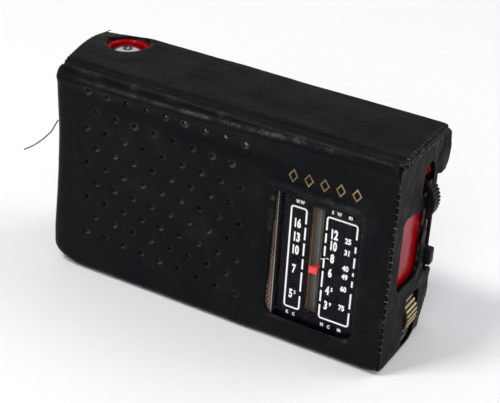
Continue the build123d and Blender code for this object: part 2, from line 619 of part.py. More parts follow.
with BuildPart() as volume_control:
    block(50.6, CAVITY_X - 0.4, BOARD_BACK, 7.0, 46.8, 63.2)
    rod("y", VOLUME_X, VOLUME_Z, 2.5 + RUNNING_FIT, 4.4, 7.0, Mode.SUBTRACT)
save(volume_control.part, "volume_control")

SWITCH_GAP = 0.35
with BuildPart() as band_switch:
    block(48.6, 60.8, 7.8, 16.1, 25.2, 44.0)
    block(
        50.0, 60.8, LEVER_FRONT - SWITCH_GAP, LEVER_BACK + SWITCH_GAP,
        LEVER_LOW - SWITCH_GAP, LEVER_HIGH + LEVER_TRAVEL + SWITCH_GAP, Mode.SUBTRACT,
    )
    for z in (27.5, 42.0):
        block(51.0, 53.0, BOARD_BACK, 7.8, z - 1, z + 1)
save(band_switch.part, "band_switch")

with BuildPart() as band_lever:
    block(50.6, LEVER_TIP_X, LEVER_FRONT, LEVER_BACK, LEVER_LOW, LEVER_HIGH)
    fillet(band_lever.faces().sort_by(Axis.X)[-1].edges(), radius=0.8)
save(band_lever.part, "band_lever")

# ---------------------------------------------------------------- earphone jack
with BuildPart() as earphone_jack:
    rod("x", JACK_Y, JACK_Z, 3.1, -RADIO_X, -CAVITY_X)
    rod("x", JACK_Y, JACK_Z, 4.0, -CAVITY_X, -CAVITY_X + 2)
    block(-CAVITY_X + 2, -RADIO_X + JACK_DEPTH + 2, JACK_Y - 3.4, JACK_Y + 3.4, JACK_Z - 3.4, JACK_Z + 3.4)
    rod("x", JACK_Y, JACK_Z, JACK_BORE_RADIUS, -RADIO_X, -RADIO_X + JACK_DEPTH, Mode.SUBTRACT)
save(earphone_jack.part, "earphone_jack")

# ---------------------------------------------------------------- loudspeaker
FLANGE_BACK = -CAVITY_Y + 1.2
with BuildPart() as speaker_frame:
    with BuildSketch(Plane((SPEAKER_X, 0, SPEAKER_Z), x_dir=(1, 0, 0), z_dir=(0, 0, 1))):
        with BuildLine():
            Polyline(
                (22.0, -CAVITY_Y),
                (SPEAKER_RADIUS, -CAVITY_Y),
                (SPEAKER_RADIUS, FLANGE_BACK),
                (23.2, FLANGE_BACK),
                (13.0, -5.0),
                (3.0, -5.0),
                (3.0, -5.8),
                (12.4, -5.8),
                (22.0, FLANGE_BACK - 0.3),
                close=True,
            )
        make_face()
    revolve(axis=Axis((SPEAKER_X, 0, SPEAKER_Z), (0, 1, 0)))
save(speaker_frame.part, "speaker_frame")

with BuildPart() as speaker_cone:
    with BuildSketch(Plane((SPEAKER_X, 0, SPEAKER_Z), x_dir=(1, 0, 0), z_dir=(0, 0, 1))):
        with BuildLine():
            Polyline(
                (0.0, -9.4),
                (6.0, -8.6),
                (20.6, -15.6),
                (21.6, -15.6),
                (21.6, -15.2),
                (20.8, -15.2),
                (6.2, -8.1),
                (0.0, -8.9),
                close=True,
            )
        make_face()
    revolve(axis=Axis((SPEAKER_X, 0, SPEAKER_Z), (0, 1, 0)))
save(speaker_cone.part, "speaker_cone")

with BuildPart() as speaker_magnet:
    rod("y", SPEAKER_X, SPEAKER_Z, 10.5, -5.0, -4.0)
    rod("y", SPEAKER_X, SPEAKER_Z, 9.0, -4.0, 1.4)
save(speaker_magnet.part, "speaker_magnet")

# ---------------------------------------------------------------- circuit board and its parts
with BuildPart() as circuit_board:
    block(BOARD_LEFT, BOARD_RIGHT, BOARD_FRONT, BOARD_BACK, BOARD_LOW, BOARD_HIGH)
    block(53.6, BOARD_RIGHT, BOARD_FRONT, BOARD_BACK, 67.6, BOARD_HIGH, Mode.SUBTRACT)
    for x, z in BOARD_SCREWS:
        rod("y", x, z, 1.1, BOARD_FRONT, BOARD_BACK, Mode.SUBTRACT)
save(circuit_board.part, "circuit_board")

with BuildPart() as board_screws:
    for x, z in BOARD_SCREWS:
        rod("y", x, z, 0.95, BOARD_FRONT, BOARD_BACK + 5)
        rod("y", x, z, 2.0, BOARD_FRONT - 1.2, BOARD_FRONT)
save(board_screws.part, "board_screws")

with BuildPart() as if_cans:
    for x in (18.0, 27.5, 37.0, 46.5):
        block(x - 3.5, x + 3.5, BOARD_FRONT - 10, BOARD_FRONT, 63.0, 70.0)
        rod("y", x, 66.5, 1.6, BOARD_FRONT - 10, BOARD_FRONT - 9.2, Mode.SUBTRACT)
save(if_cans.part, "if_cans")

with BuildPart() as transistors:
    for x in (13.0, 20.5, 28.0, 35.5):
        for z in (40.5, 52.5):
            rod("y", x, z, 2.5, BOARD_FRONT - 5.5, BOARD_FRONT)
            rod("y", x, z, 3.0, BOARD_FRONT - 0.8, BOARD_FRONT)
save(transistors.part, "transistors")

with BuildPart() as resistors:
    for x in (14.0, 22.0, 30.0):
        for z in (31.5, 34.5, 46.5, 58.5):
            rod("x", BOARD_FRONT - 1.0, z, 0.95, x - 3, x + 3)
save(resistors.part, "resistors")

with BuildPart() as electrolytic_capacitors:
    for x in (16.5, 25.5, 34.5, 43.5):
        rod("z", x, BOARD_BACK + 3.2, 3.1, 31.0, 42.0)
save(electrolytic_capacitors.part, "electrolytic_capacitors")

with BuildPart() as transformers:
    for x in (16.0, 33.0):
        block(x, x + 13, BOARD_BACK, 13.2, 45.5, 56.0)
        block(x + 3, x + 10, BOARD_BACK + 1, 12.2, 43.8, 57.7)
save(transformers.part, "transformers")

with BuildPart() as ferrite_rod:
    rod("x", ROD_Y, ROD_Z, ROD_RADIUS, -38.0, 38.0)
    chamfer(ferrite_rod.edges(), length=0.4)
save(ferrite_rod.part, "ferrite_rod")

with BuildPart() as rod_clips:
    for x in (12.0, 33.0):
        block(x, x + 3, BOARD_BACK, 15.4, ROD_Z - 5.4, ROD_Z + 5.4)
        rod("x", ROD_Y, ROD_Z, ROD_RADIUS + 0.05, x, x + 3, Mode.SUBTRACT)
save(rod_clips.part, "rod_clips")

with BuildPart() as antenna_coil:
    for x0, x1 in [(-22.0, -8.0), (18.0, 28.0)]:
        rod("x", ROD_Y, ROD_Z, 5.5, x0, x1)
    rod("x", ROD_Y, ROD_Z, ROD_RADIUS + 0.05, -22.0, 28.0, Mode.SUBTRACT)
save(antenna_coil.part, "antenna_coil")

# ---------------------------------------------------------------- cells and contacts
with BuildPart() as battery_cells:
    for y in CELL_YS:
        rod("x", y, CELL_Z, CELL_RADIUS, CELL_LEFT, CELL_RIGHT)
    fillet(battery_cells.edges(), radius=0.6)
    for y in CELL_YS:
        rod("x", y, CELL_Z, 2.7, CELL_RIGHT, CELL_RIGHT + 1.1)
save(battery_cells.part, "battery_cells")

with BuildPart() as battery_contacts:
    for y in CELL_YS:
        # flat plate at the cell's nub, and a bowed leaf spring behind its base
        block(COMPARTMENT_RIGHT - 0.4, COMPARTMENT_RIGHT, y - 5, y + 5, 5.5, 17.0)
        with BuildSketch(Plane.XY.offset(CELL_Z - 3)):
            with BuildLine():
                RadiusArc((COMPARTMENT_LEFT, y - 5), (COMPARTMENT_LEFT, y + 5), -5.2)
                RadiusArc((COMPARTMENT_LEFT, y - 4.5), (COMPARTMENT_LEFT, y + 4.5), -4.7)
                Line((COMPARTMENT_LEFT, y - 5), (COMPARTMENT_LEFT, y - 4.5))
                Line((COMPARTMENT_LEFT, y + 4.5), (COMPARTMENT_LEFT, y + 5))
            make_face()
        extrude(amount=6)
save(battery_contacts.part, "battery_contacts")

# ---------------------------------------------------------------- telescopic antenna
with BuildPart() as antenna_tube:
    rod("z", ANTENNA_X, ANTENNA_Y, ANTENNA_RADII[0], ANTENNA_LOW, ANTENNA_HIGH)
    rod(
        "z", ANTENNA_X, ANTENNA_Y, ANTENNA_RADII[0] - ANTENNA_WALL,
        ANTENNA_LOW + 0.6, ANTENNA_HIGH, Mode.SUBTRACT,
    )
save(antenna_tube.part, "antenna_tube")

for number in range(1, 5):
    outer = ANTENNA_RADII[number]
    floor = ANTENNA_LOW + 0.6 + 0.7 * number
    with BuildPart() as antenna_section:
        rod("z", ANTENNA_X, ANTENNA_Y, outer, floor, ANTENNA_HIGH)
        rod("z", ANTENNA_X, ANTENNA_Y, outer - ANTENNA_WALL, floor + 0.4, ANTENNA_HIGH, Mode.SUBTRACT)
    save(antenna_section.part, f"antenna_section_{number}")

# The tip is a domed button with a small dimple in its crown.
with BuildPart() as antenna_tip:
    rod("z", ANTENNA_X, ANTENNA_Y, TIP_RADIUS, TIP_LOW, TIP_HIGH)
    with Locations((ANTENNA_X, ANTENNA_Y, TIP_HIGH - TIP_DOME_RADIUS)):
        Sphere(TIP_DOME_RADIUS, mode=Mode.INTERSECT)
    rod("z", ANTENNA_X, ANTENNA_Y, ANTENNA_RADII[5], ANTENNA_LOW + 4.4, TIP_LOW)
    with Locations((ANTENNA_X, ANTENNA_Y, TIP_HIGH)):
        CounterBoreHole(0.6, 1.9, 0.6, 1.2)
save(antenna_tip.part, "antenna_tip")

with BuildPart() as antenna_bracket:
    block(-62.0, -52.6, 5.5, CAVITY_Y, 20.0, 24.0)
    rod("z", ANTENNA_X, ANTENNA_Y, ANTENNA_RADII[0] + 0.02, 20.0, 24.0, Mode.SUBTRACT)
save(antenna_bracket.part, "antenna_bracket")
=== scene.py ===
import json
from math import cos, pi, radians, sin

import bmesh
import bpy
import numpy as np
from mathutils import Matrix, Vector


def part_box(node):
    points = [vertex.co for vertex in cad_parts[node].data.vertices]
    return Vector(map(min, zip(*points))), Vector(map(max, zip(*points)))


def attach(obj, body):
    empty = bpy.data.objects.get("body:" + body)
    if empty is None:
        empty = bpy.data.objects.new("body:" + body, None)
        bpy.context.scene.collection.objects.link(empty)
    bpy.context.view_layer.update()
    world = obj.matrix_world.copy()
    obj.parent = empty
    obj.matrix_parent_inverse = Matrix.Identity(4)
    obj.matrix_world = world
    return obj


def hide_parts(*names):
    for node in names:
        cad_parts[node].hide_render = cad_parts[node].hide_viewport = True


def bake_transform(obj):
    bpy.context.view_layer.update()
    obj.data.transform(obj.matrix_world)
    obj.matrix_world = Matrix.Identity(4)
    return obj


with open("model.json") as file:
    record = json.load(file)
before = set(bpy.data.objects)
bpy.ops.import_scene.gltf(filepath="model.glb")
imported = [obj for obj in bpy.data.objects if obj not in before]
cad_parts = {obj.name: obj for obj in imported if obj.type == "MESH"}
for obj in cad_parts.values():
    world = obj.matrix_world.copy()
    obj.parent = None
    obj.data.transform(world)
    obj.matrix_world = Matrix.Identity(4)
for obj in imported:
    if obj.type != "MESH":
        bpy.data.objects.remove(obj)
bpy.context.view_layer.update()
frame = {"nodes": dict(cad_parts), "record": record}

# Transistor pocket radio in a worn black leather carrying case.
# Shapes are worked out in millimetres and written to the meshes in metres.
MM = 0.001
NODES = frame["nodes"]
CASE = "case_and_radio"


def box_mm(node):
    """Lowest and highest corner of a CAD node, in millimetres."""
    low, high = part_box(node)
    return np.array(low) / MM, np.array(high) / MM


def middle_mm(node):
    low, high = box_mm(node)
    return (low + high) / 2


FRONT_LOW, FRONT_HIGH = box_mm("case_front_panel")
HALF = FRONT_HIGH[0]
HEIGHT = FRONT_HIGH[2]
FRONT_Y = FRONT_LOW[1]
BACK_Y = box_mm("case_top_panel")[1][1]
LEATHER = FRONT_HIGH[1] - FRONT_LOW[1]


def add_object(name, data):
    ob = bpy.data.objects.new(name, data)
    bpy.context.scene.collection.objects.link(ob)
    return ob


# ---- camera, floor, light
CAMERA_PLACE = (213.22, -397.50, 292.02)
CAMERA_ANGLES = (27.89, 29.40, 3.70)
FOCAL_LENGTH = 105.18  # on the usual 36 mm sensor

# place, target, side in metres and watts
LIGHTS = {
    "key": ((-0.50, -0.65, 1.62), (0.02, 0, 0.03), 0.36, 16.5),
    "fill": ((0.54, -1.80, 1.35), (0, 0, 0.04), 1.08, 14.0),
    "back": ((1.35, 1.08, 1.98), (0.10, 0.05, 0), 1.40, 19.0),
}
WORLD_COLOUR, WORLD_STRENGTH = (0.93, 0.95, 1.0, 1), 0.56
FLOOR_REACH = 3.0
FLOOR_PALE, FLOOR_PALER = (0.785, 0.785, 0.78), (0.80, 0.80, 0.80)


def set_camera():
    """The photograph's viewpoint: degrees to the right of the front, above the floor, and of roll."""
    azimuth, elevation, roll = map(radians, CAMERA_ANGLES)
    level = cos(elevation)
    back = Vector((sin(azimuth) * level, -cos(azimuth) * level, sin(elevation)))
    right = Vector((0, 0, 1)).cross(back).normalized()
    up = back.cross(right)
    data = bpy.data.cameras.new("photo_camera")
    data.lens = FOCAL_LENGTH
    data.clip_start = 0.01
    camera = add_object("photo_camera", data)
    turned = (right * cos(roll) + up * sin(roll), up * cos(roll) - right * sin(roll))
    axes = Matrix((*turned, back)).transposed()
    camera.matrix_world = Matrix.Translation(Vector(CAMERA_PLACE) * MM) @ axes.to_4x4()
    bpy.context.scene.camera = camera


def add_light(name, place, target, side, watts):
    """Square area light that shines from place to target."""
    data = bpy.data.lights.new(name, "AREA")
    data.size = side
    data.energy = watts
    turn = (Vector(target) - Vector(place)).to_track_quat("-Z", "Y")
    light = add_object(name, data)
    light.matrix_world = Matrix.Translation(place) @ turn.to_matrix().to_4x4()


def set_stage():
    """A plain pale floor and soft studio light."""
    scene = bpy.context.scene
    scene.view_settings.view_transform = "Standard"
    mesh = bpy.data.meshes.new("floor")
    corners = [(x * FLOOR_REACH, y * FLOOR_REACH, 0) for x, y in ((-1, -1), (1, -1), (1, 1), (-1, 1))]
    mesh.from_pydata(corners, [], [(0, 1, 2, 3)])
    look = Look("floor_paper")
    look.ramp(look.noise(260.0, 3.0), [(0.3, FLOOR_PALE), (0.7, FLOOR_PALER)], "Base Color")
    look.set("Roughness", 0.8)
    look.set("Specular IOR Level", 0.2)
    mesh.materials.append(look.material)
    floor = add_object("floor", mesh)
    world = bpy.data.worlds.new("studio")
    world.use_nodes = True
    background = world.node_tree.nodes["Background"]
    background.inputs["Color"].default_value = WORLD_COLOUR
    background.inputs["Strength"].default_value = WORLD_STRENGTH
    scene.world = world
    for name, values in LIGHTS.items():
        add_light(name, *values)


# ---- materials
class Look:
    """A material with its shader, and the nodes that feed it."""

    def __init__(self, name):
        self.material = bpy.data.materials.new(f"look_{name}")
        self.material.use_nodes = True
        self.nodes = self.material.node_tree.nodes
        self.shader = self.nodes["Principled BSDF"]

    def node(self, kind, **inputs):
        """New shader node with these values in its inputs."""
        node = self.nodes.new(f"ShaderNode{kind}")
        for name, value in inputs.items():
            node.inputs[name].default_value = value
        return node

    def set(self, name, value):
        self.shader.inputs[name].default_value = value

    def link(self, source, target):
        """Join an output to an input, or to the shader's input of that name."""
        if isinstance(target, str):
            target = self.shader.inputs[target]
        self.material.node_tree.links.new(source, target)

    def feed(self, value, socket):
        """A number, a colour or another node's output into a socket."""
        if isinstance(value, bpy.types.NodeSocket):
            self.link(value, socket)
        elif isinstance(value, tuple):
            socket.default_value = (*value, 1)
        else:
            socket.default_value = value

    def texture(self, kind, stretch=(1, 1, 1), **inputs):
        """Texture in object coordinates that are stretched along the axes."""
        mapping = self.node("Mapping", Scale=stretch)
        self.link(self.node("TexCoord").outputs["Object"], mapping.inputs["Vector"])
        node = self.node(kind, **inputs)
        self.link(mapping.outputs["Vector"], node.inputs["Vector"])
        return node

    def noise(self, scale, detail=4.0, stretch=(1, 1, 1), roughness=0.55):
        node = self.texture("TexNoise", stretch, Scale=scale, Detail=detail, Roughness=roughness)
        return node.outputs["Fac"]

    def ramp(self, source, stops, target=None):
        """Source through a colour ramp of two (place, colour or value) stops, and on to a target if given."""
        node = self.node("ValToRGB")
        for element, (place, colour) in zip(node.color_ramp.elements, stops):
            element.position = place
            element.color = (*colour, 1) if isinstance(colour, tuple) else (colour, colour, colour, 1)
        self.link(source, node.inputs["Fac"])
        if target is not None:
            self.link(node.outputs["Color"], target)
        return node.outputs["Color"]

    def mix(self, factor, first, second):
        """Colour mix; first and second are outputs or colours."""
        node = self.node("Mix")
        node.data_type = "RGBA"
        for value, index in ((factor, 0), (first, 6), (second, 7)):
            self.feed(value, node.inputs[index])
        return node.outputs[2]

    def math(self, operation, first, second=0.0):
        node = self.node("Math")
        node.operation = operation
        for value, socket in zip((first, second), node.inputs):
            self.feed(value, socket)
        return node.outputs[0]

    def attribute(self, name):
        node = self.node("Attribute")
        node.attribute_name = name
        return node.outputs["Fac"]

    def bump(self, *heights):
        """Chain of bumps from (height, strength, depth in metres) triples."""
        normal = None
        for height, strength, depth in heights:
            node = self.node("Bump", Strength=strength, Distance=depth)
            self.link(height, node.inputs["Height"])
            if normal is not None:
                self.link(normal, node.inputs["Normal"])
            normal = node.outputs["Normal"]
        self.link(normal, "Normal")


# The worn colour is also the colour of painted highlight and sheen; the raw hide colour is also painted
# highlight round the punched holes
SCUFFED, SPECKED = (0.019, 0.018, 0.0155), (0.040, 0.037, 0.030)
WORN_AND_SHEEN, RAW_HIDE_AND_HIGHLIGHT = (0.11, 0.11, 0.105), (0.30, 0.23, 0.16)


def leather_material(name, base, warm, streaks, shine):
    """Black grained leather with scuffs; the attribute wear_and_sheen brings up worn patches and painted
    highlight, and rim brings up raw hide and painted highlight.
    """
    look = Look(name)
    body = look.ramp(look.noise(45.0, 5.0), [(0.35, base), (0.7, warm)])
    streak = look.ramp(look.noise(60.0, 6.0, streaks, 0.65), [(0.56, 0.0), (0.80, 0.55)])
    speck = look.ramp(look.noise(520.0, 3.0), [(0.72, 0.0), (0.80, 0.6)])
    soiled = look.mix(speck, look.mix(streak, body, SCUFFED), SPECKED)
    crumbs = look.ramp(look.noise(1300.0), [(0.42, 0.3), (0.62, 1.0)])
    # worn patches together with painted highlight and sheen, from the wear_and_sheen attribute; rim adds raw
    # hide and painted highlight
    bare_and_sheen = look.math("MULTIPLY", look.attribute("wear_and_sheen"), crumbs)
    worn = look.mix(bare_and_sheen, soiled, WORN_AND_SHEEN)
    look.link(look.mix(look.attribute("rim"), worn, RAW_HIDE_AND_HIGHLIGHT), "Base Color")
    look.ramp(look.noise(110.0), [(0.3, 0.30), (0.75, 0.50)], "Roughness")
    look.set("Specular IOR Level", shine)
    crease = look.noise(160.0, 6.0, roughness=0.6)
    grain = look.texture("TexVoronoi", Scale=1500.0).outputs["Distance"]
    look.bump((crease, 0.35, 0.0005), (grain, 0.30, 0.00012), (look.noise(2600.0, 2.0), 0.25, 0.00006))
    return look.material


def plastic_material(name, base, roughness=0.25, coat=0.3, spread=0.25, grain=900, bump=0.1, specular=0.5):
    """Moulded plastic: slight colour drift, handling haze and fine scratches."""
    look = Look(name)
    darker = tuple(c * (1 - spread) for c in base)
    look.ramp(look.noise(70.0), [(0.3, darker), (0.7, base)], "Base Color")
    look.ramp(look.noise(160.0, 5.0), [(0.35, roughness * 0.75), (0.75, roughness * 1.4)], "Roughness")
    look.set("Specular IOR Level", specular)
    look.set("Coat Weight", coat)
    look.set("Coat Roughness", 0.12)
    look.bump((look.noise(grain, 3.0, (1, 1, 0.15)), bump, 0.00005))
    return look.material


def metal_material(name, base, roughness, brushed=(1, 1, 1), tarnish=None, bump=0.15):
    """Metal with brushed grain and patches of tarnish."""
    look = Look(name)
    dull = tarnish or tuple(c * 0.6 for c in base)
    look.ramp(look.noise(130.0, 5.0), [(0.3, dull), (0.62, base)], "Base Color")
    look.set("Metallic", 1.0)
    haze = look.noise(260.0, 4.0, brushed)
    look.ramp(haze, [(0.3, roughness * 0.7), (0.7, roughness * 1.5)], "Roughness")
    look.bump((look.noise(1500.0, 2.0, brushed), bump, 0.00004))
    return look.material


def thread_material(name, base, light):
    """Twisted waxed thread."""
    look = Look(name)
    look.ramp(look.noise(900), [(0.35, base), (0.68, light)], "Base Color")
    look.set("Roughness", 0.55)
    twist = look.texture("TexWave", Scale=900.0, Distortion=2.0)
    look.bump((twist.outputs["Fac"], 0.5, 0.00008))
    return look.material


def window_material(name):
    """Clear acrylic: see-through, with a thin gloss that hazes in patches and a few hairline scratches."""
    look = Look(name)
    look.nodes.remove(look.shader)
    look.shader = look.node("BsdfGlossy", Roughness=0.10)
    look.bump((look.noise(900, 2.0, (0.08, 1, 1)), 0.06, 0.00003))
    clear = look.node("BsdfTransparent", Color=(1, 1, 1, 1))
    share = look.ramp(look.noise(120.0), [(0.35, 0.002), (0.75, 0.008)])
    mix = look.node("MixShader")
    look.link(share, mix.inputs["Fac"])
    look.link(clear.outputs["BSDF"], mix.inputs[1])
    look.link(look.shader.outputs["BSDF"], mix.inputs[2])
    look.link(mix.outputs["Shader"], look.nodes["Material Output"].inputs["Surface"])
    return look.material


def wheel_material(name):
    """Black wheel with brass on the crests of its ribs, told apart by the distance from the spindle."""
    look = Look(name)
    centre = middle_mm("tuning_wheel_rim") * MM
    crest = box_mm("tuning_wheel_rim")[1][0] * MM - centre[0]
    split = look.node("SeparateXYZ")
    look.link(look.node("TexCoord").outputs["Object"], split.inputs["Vector"])
    across, above = (look.math("SUBTRACT", split.outputs[i], centre[i]) for i in (0, 2))
    squares = look.math("ADD", look.math("POWER", across, 2), look.math("POWER", above, 2))
    radius = look.math("SQRT", squares)
    worn = look.noise(400.0)
    edge = look.math("ADD", look.math("DIVIDE", radius, crest), look.math("MULTIPLY", worn, 0.02))
    brass = look.ramp(edge, [(0.958, 0.0), (0.985, 1.0)], "Metallic")
    look.link(look.mix(brass, (0.012, 0.011, 0.010), (0.55, 0.43, 0.24)), "Base Color")
    look.ramp(worn, [(0.3, 0.24), (0.7, 0.42)], "Roughness")
    look.bump((worn, 0.2, 0.00005))
    return look.material


# base colour, warmer colour, stretch of the streaks, specular level
# Lit and shaded copies of one hide, one per face: colour and specular level are set to each face's
# brightness, painted light and shade
LEATHERS = {
    "black_leather": ((0.0016, 0.0022, 0.0034), (0.0038, 0.0039, 0.0042), (1, 1, 1), 0.07),
    "top_leather": ((0.0034, 0.0034, 0.0036), (0.0075, 0.0070, 0.0058), (0.18, 1.6, 1), 0.035),
    "end_leather": ((0.0018, 0.0021, 0.0023), (0.0044, 0.0044, 0.0042), (1, 1, 1), 0.02),
}
# base colour, roughness, coat, colour spread, scale and strength of the scratches, specular level
PLASTICS = {
    "red_plastic": ((0.35, 0, 0.005), 0.22, 0, 0.40, 900, 0.1, 0.10),
    "pointer_red": ((0.88, 0.035, 0.035), 0.35, 0.2, 0.12),
    "grille_metal": ((0.31, 0.20, 0.155), 0.4, 0.1, 0.55, 700),
    "grille_bead": ((0.62, 0.52, 0.42), 0.35, 0.1, 0.5, 700),
    "grille_shadow": ((0.010, 0.006, 0.006), 0.9, 0, 0.4, 900, 0.1, 0.1),
    "dial_black": ((0.0025, 0.0025, 0.0045), 0.30, 0, 0.2, 900, 0.1, 0.08),
    "scale_white": ((0.92, 0.92, 0.90), 0.5, 0, 0.05),
    "guide_plate": ((0.24, 0.235, 0.20), 0.5, 0.1, 0.25),
    "white_plastic": ((0.72, 0.70, 0.64), 0.4, 0.1, 0.12),
    "capacitor_plastic": ((0.26, 0.29, 0.33), 0.35, 0.2),
    "black_plastic": ((0.005, 0.005, 0.005), 0.42, 0, 0.3, 600, 0.3, 0.2),
    "paper_cone": ((0.05, 0.045, 0.04), 0.85, 0, 0.4, 1400, 0.6),
    "board_phenolic": ((0.42, 0.24, 0.09), 0.5, 0.1, 0.3, 500, 0.3),
    "resistor_body": ((0.42, 0.25, 0.13), 0.4, 0.2),
    "ferrite": ((0.06, 0.058, 0.055), 0.6, 0, 0.3, 1200, 0.5),
}
# base colour, roughness, stretch of the brushed lines, tarnish colour, strength of the lines
METALS = {
    "snap_metal": ((0.62, 0.55, 0.42), 0.3),
    "gold_foil": ((0.40, 0.30, 0.13), 0.42, (1, 1, 1), (0.07, 0.055, 0.03)),
    "steel": ((0.55, 0.55, 0.56), 0.3, (1, 1, 0.1)),
    "brass_rim": ((0.78, 0.58, 0.28), 0.24, (1, 1, 1), (0.30, 0.20, 0.09)),
    "bronze_edge": ((0.22, 0.12, 0.05), 0.4, (1, 1, 1), (0.08, 0.045, 0.02)),
    "can_aluminium": ((0.75, 0.75, 0.76), 0.32, (1, 0.1, 1)),
    "coil_wire": ((0.62, 0.24, 0.10), 0.35, (8, 0.5, 0.5), None, 0.9),
    "cell_jacket": ((0.20, 0.24, 0.36), 0.38, (0.1, 1, 1)),
    "antenna_chrome": ((0.86, 0.86, 0.87), 0.16, (1, 1, 1), (0.66, 0.66, 0.66)),
}
# dark and light colour
THREADS = {
    "seam_thread": ((0.008, 0.008, 0.008), (0.030, 0.027, 0.024)),
    "pale_thread": ((0.06, 0.052, 0.04), (0.20, 0.175, 0.13)),
    "dial_cord_fibre": ((0.10, 0.095, 0.08), (0.22, 0.21, 0.18)),
}


def make_materials():
    """One material for each slot of the record, and the extra ones that only the looks need."""
    made = {"clear_window": window_material("clear_window"), "wheel_brass": wheel_material("wheel_brass")}
    makers = (leather_material, plastic_material, metal_material, thread_material)
    for make, table in zip(makers, (LEATHERS, PLASTICS, METALS, THREADS)):
        for name, values in table.items():
            made[name] = make(name, *values)
    return made


# ---- mesh helpers
class Shape:
    """Vertices in millimetres and faces, gathered from several pieces, with a material index each."""

    def __init__(self):
        self.points, self.faces, self.kinds = [], [], []

    def add(self, points, faces, kind=0):
        start = len(self.points)
        self.points.extend(tuple(p) for p in points)
        self.faces.extend(tuple(start + i for i in face) for face in faces)
        self.kinds.extend([kind] * len(faces))

    def box(self, low, high, kind=0):
        (x0, y0, z0), (x1, y1, z1) = low, high
        points = [(x, y, z) for z in (z0, z1) for y in (y0, y1) for x in (x0, x1)]
        faces = [(0, 2, 3, 1), (4, 5, 7, 6), (0, 1, 5, 4), (2, 6, 7, 3), (0, 4, 6, 2), (1, 3, 7, 5)]
        self.add(points, faces, kind)

    def loft(self, loops, kind=0, ring=False, capped=True):
        """Skin over loops of as many points each; a ring closes on itself, other skins may have end caps."""
        count, sides = len(loops), len(loops[0])
        faces = []
        for i in range(count if ring else count - 1):
            here, there = i * sides, (i + 1) % count * sides
            for k in range(sides):
                m = (k + 1) % sides
                faces.append((here + k, here + m, there + m, there + k))
        if capped and not ring:
            last = (count - 1) * sides
            faces.append(tuple(reversed(range(sides))))
            faces.append(tuple(range(last, last + sides)))
        self.add([p for loop in loops for p in loop], faces, kind)

    def tube(self, path, radius, sides, kind=0, normal=(0.13, 0.27, 0.95)):
        """Round tube along a path; the normal is any direction that the path doesn't take."""
        path = [Vector(p) for p in path]
        turns = [2 * pi * k / sides for k in range(sides)]
        rings = []
        for i, point in enumerate(path):
            ahead = (path[min(i + 1, len(path) - 1)] - path[max(i - 1, 0)]).normalized()
            side = ahead.cross(Vector(normal)).normalized()
            lift = side.cross(ahead)
            rings.append([point + side * cos(t) * radius + lift * sin(t) * radius for t in turns])
        self.loft(rings, kind)

    def build(self, name, materials, smooth=True):
        mesh = bpy.data.meshes.new(name)
        mesh.from_pydata([tuple(c * MM for c in p) for p in self.points], [], self.faces)
        for material in materials:
            mesh.materials.append(material)
        mesh.polygons.foreach_set("material_index", self.kinds)
        return link_mesh(name, mesh, smooth)


def link_mesh(name, mesh, smooth=True, angle=0.7):
    """Object from a mesh with its normals outwards, shaded smooth up to that angle if asked."""
    mesh.validate()
    turned = bmesh.new()
    turned.from_mesh(mesh)
    bmesh.ops.recalc_face_normals(turned, faces=turned.faces)
    turned.to_mesh(mesh)
    turned.free()
    if smooth:
        mesh.shade_smooth()
        mesh.set_sharp_from_angle(angle=angle)
    return add_object(name, mesh)


def evaluated(ob):
    """The object's mesh with its modifiers applied, as a new mesh; the object goes."""
    graph = bpy.context.evaluated_depsgraph_get()
    mesh = bpy.data.meshes.new_from_object(ob.evaluated_get(graph))
    old = ob.data
    bpy.data.objects.remove(ob)
    if isinstance(old, bpy.types.Mesh):
        bpy.data.meshes.remove(old)
    return mesh


def coordinates(mesh):
    points = np.empty(len(mesh.vertices) * 3)
    mesh.vertices.foreach_get("co", points)
    return points.reshape(-1, 3)


def joined(*parts):
    """Arrays side by side, as the columns of one."""
    return np.stack(parts, axis=1)


def rise(value, low, high):
    """Smooth step: 0 up to low, 1 from high on."""
    t = np.clip((value - low) / (high - low), 0, 1)
    return t * t * (3 - 2 * t)


def bell(value, centre, width):
    return np.exp(-(((value - centre) / width) ** 2))


LATTICE = 40


def soft_noise(points, size, seed):
    """Smooth noise from -1 to 1 with features of about that size, the same on every run."""
    lattice = np.random.default_rng(seed).uniform(-1, 1, (LATTICE, LATTICE, LATTICE))
    p = np.asarray(points, float) / size + 1000.0
    cell = np.floor(p).astype(int)
    t = p - cell
    t = t * t * (3 - 2 * t)
    total = np.zeros(len(p))
    for corner in range(8):
        step = np.array([(corner >> k) & 1 for k in range(3)])
        index = (cell + step) % LATTICE
        weight = np.prod(np.where(step, t, 1 - t), axis=1)
        total += weight * lattice[index[:, 0], index[:, 1], index[:, 2]]
    return total


def patches(points, size, seed, low=0.0, high=0.8):
    """Soft-edged patches, from 0 where the noise is low to 1 where it is high."""
    return rise(soft_noise(points, size, seed), low, high)


def arc(u, v, radius, start, end, steps=6):
    """Round stretch about u, v, from the start angle to the end angle in degrees."""
    turns = [radians(start + (end - start) * k / steps) for k in range(steps + 1)]
    return [(u + radius * cos(t), v + radius * sin(t)) for t in turns]


def rounded(low, high, radii, steps=8):
    """Rounded rectangle; radii are for lower left, lower right, upper right, upper left."""
    (u0, v0), (u1, v1) = low, high
    a, b, c, d = radii
    return [
        *arc(u0 + a, v0 + a, a, 180, 270, steps),
        *arc(u1 - b, v0 + b, b, 270, 360, steps),
        *arc(u1 - c, v1 - c, c, 0, 90, steps),
        *arc(u0 + d, v1 - d, d, 90, 180, steps),
    ]


def oval(u, v, radius_u, radius_v=None, steps=20):
    radius_v = radius_v or radius_u
    turns = [2 * pi * k / steps for k in range(steps)]
    return [(u + radius_u * cos(t), v + radius_v * sin(t)) for t in turns]


RELAX_ROUNDS = 3


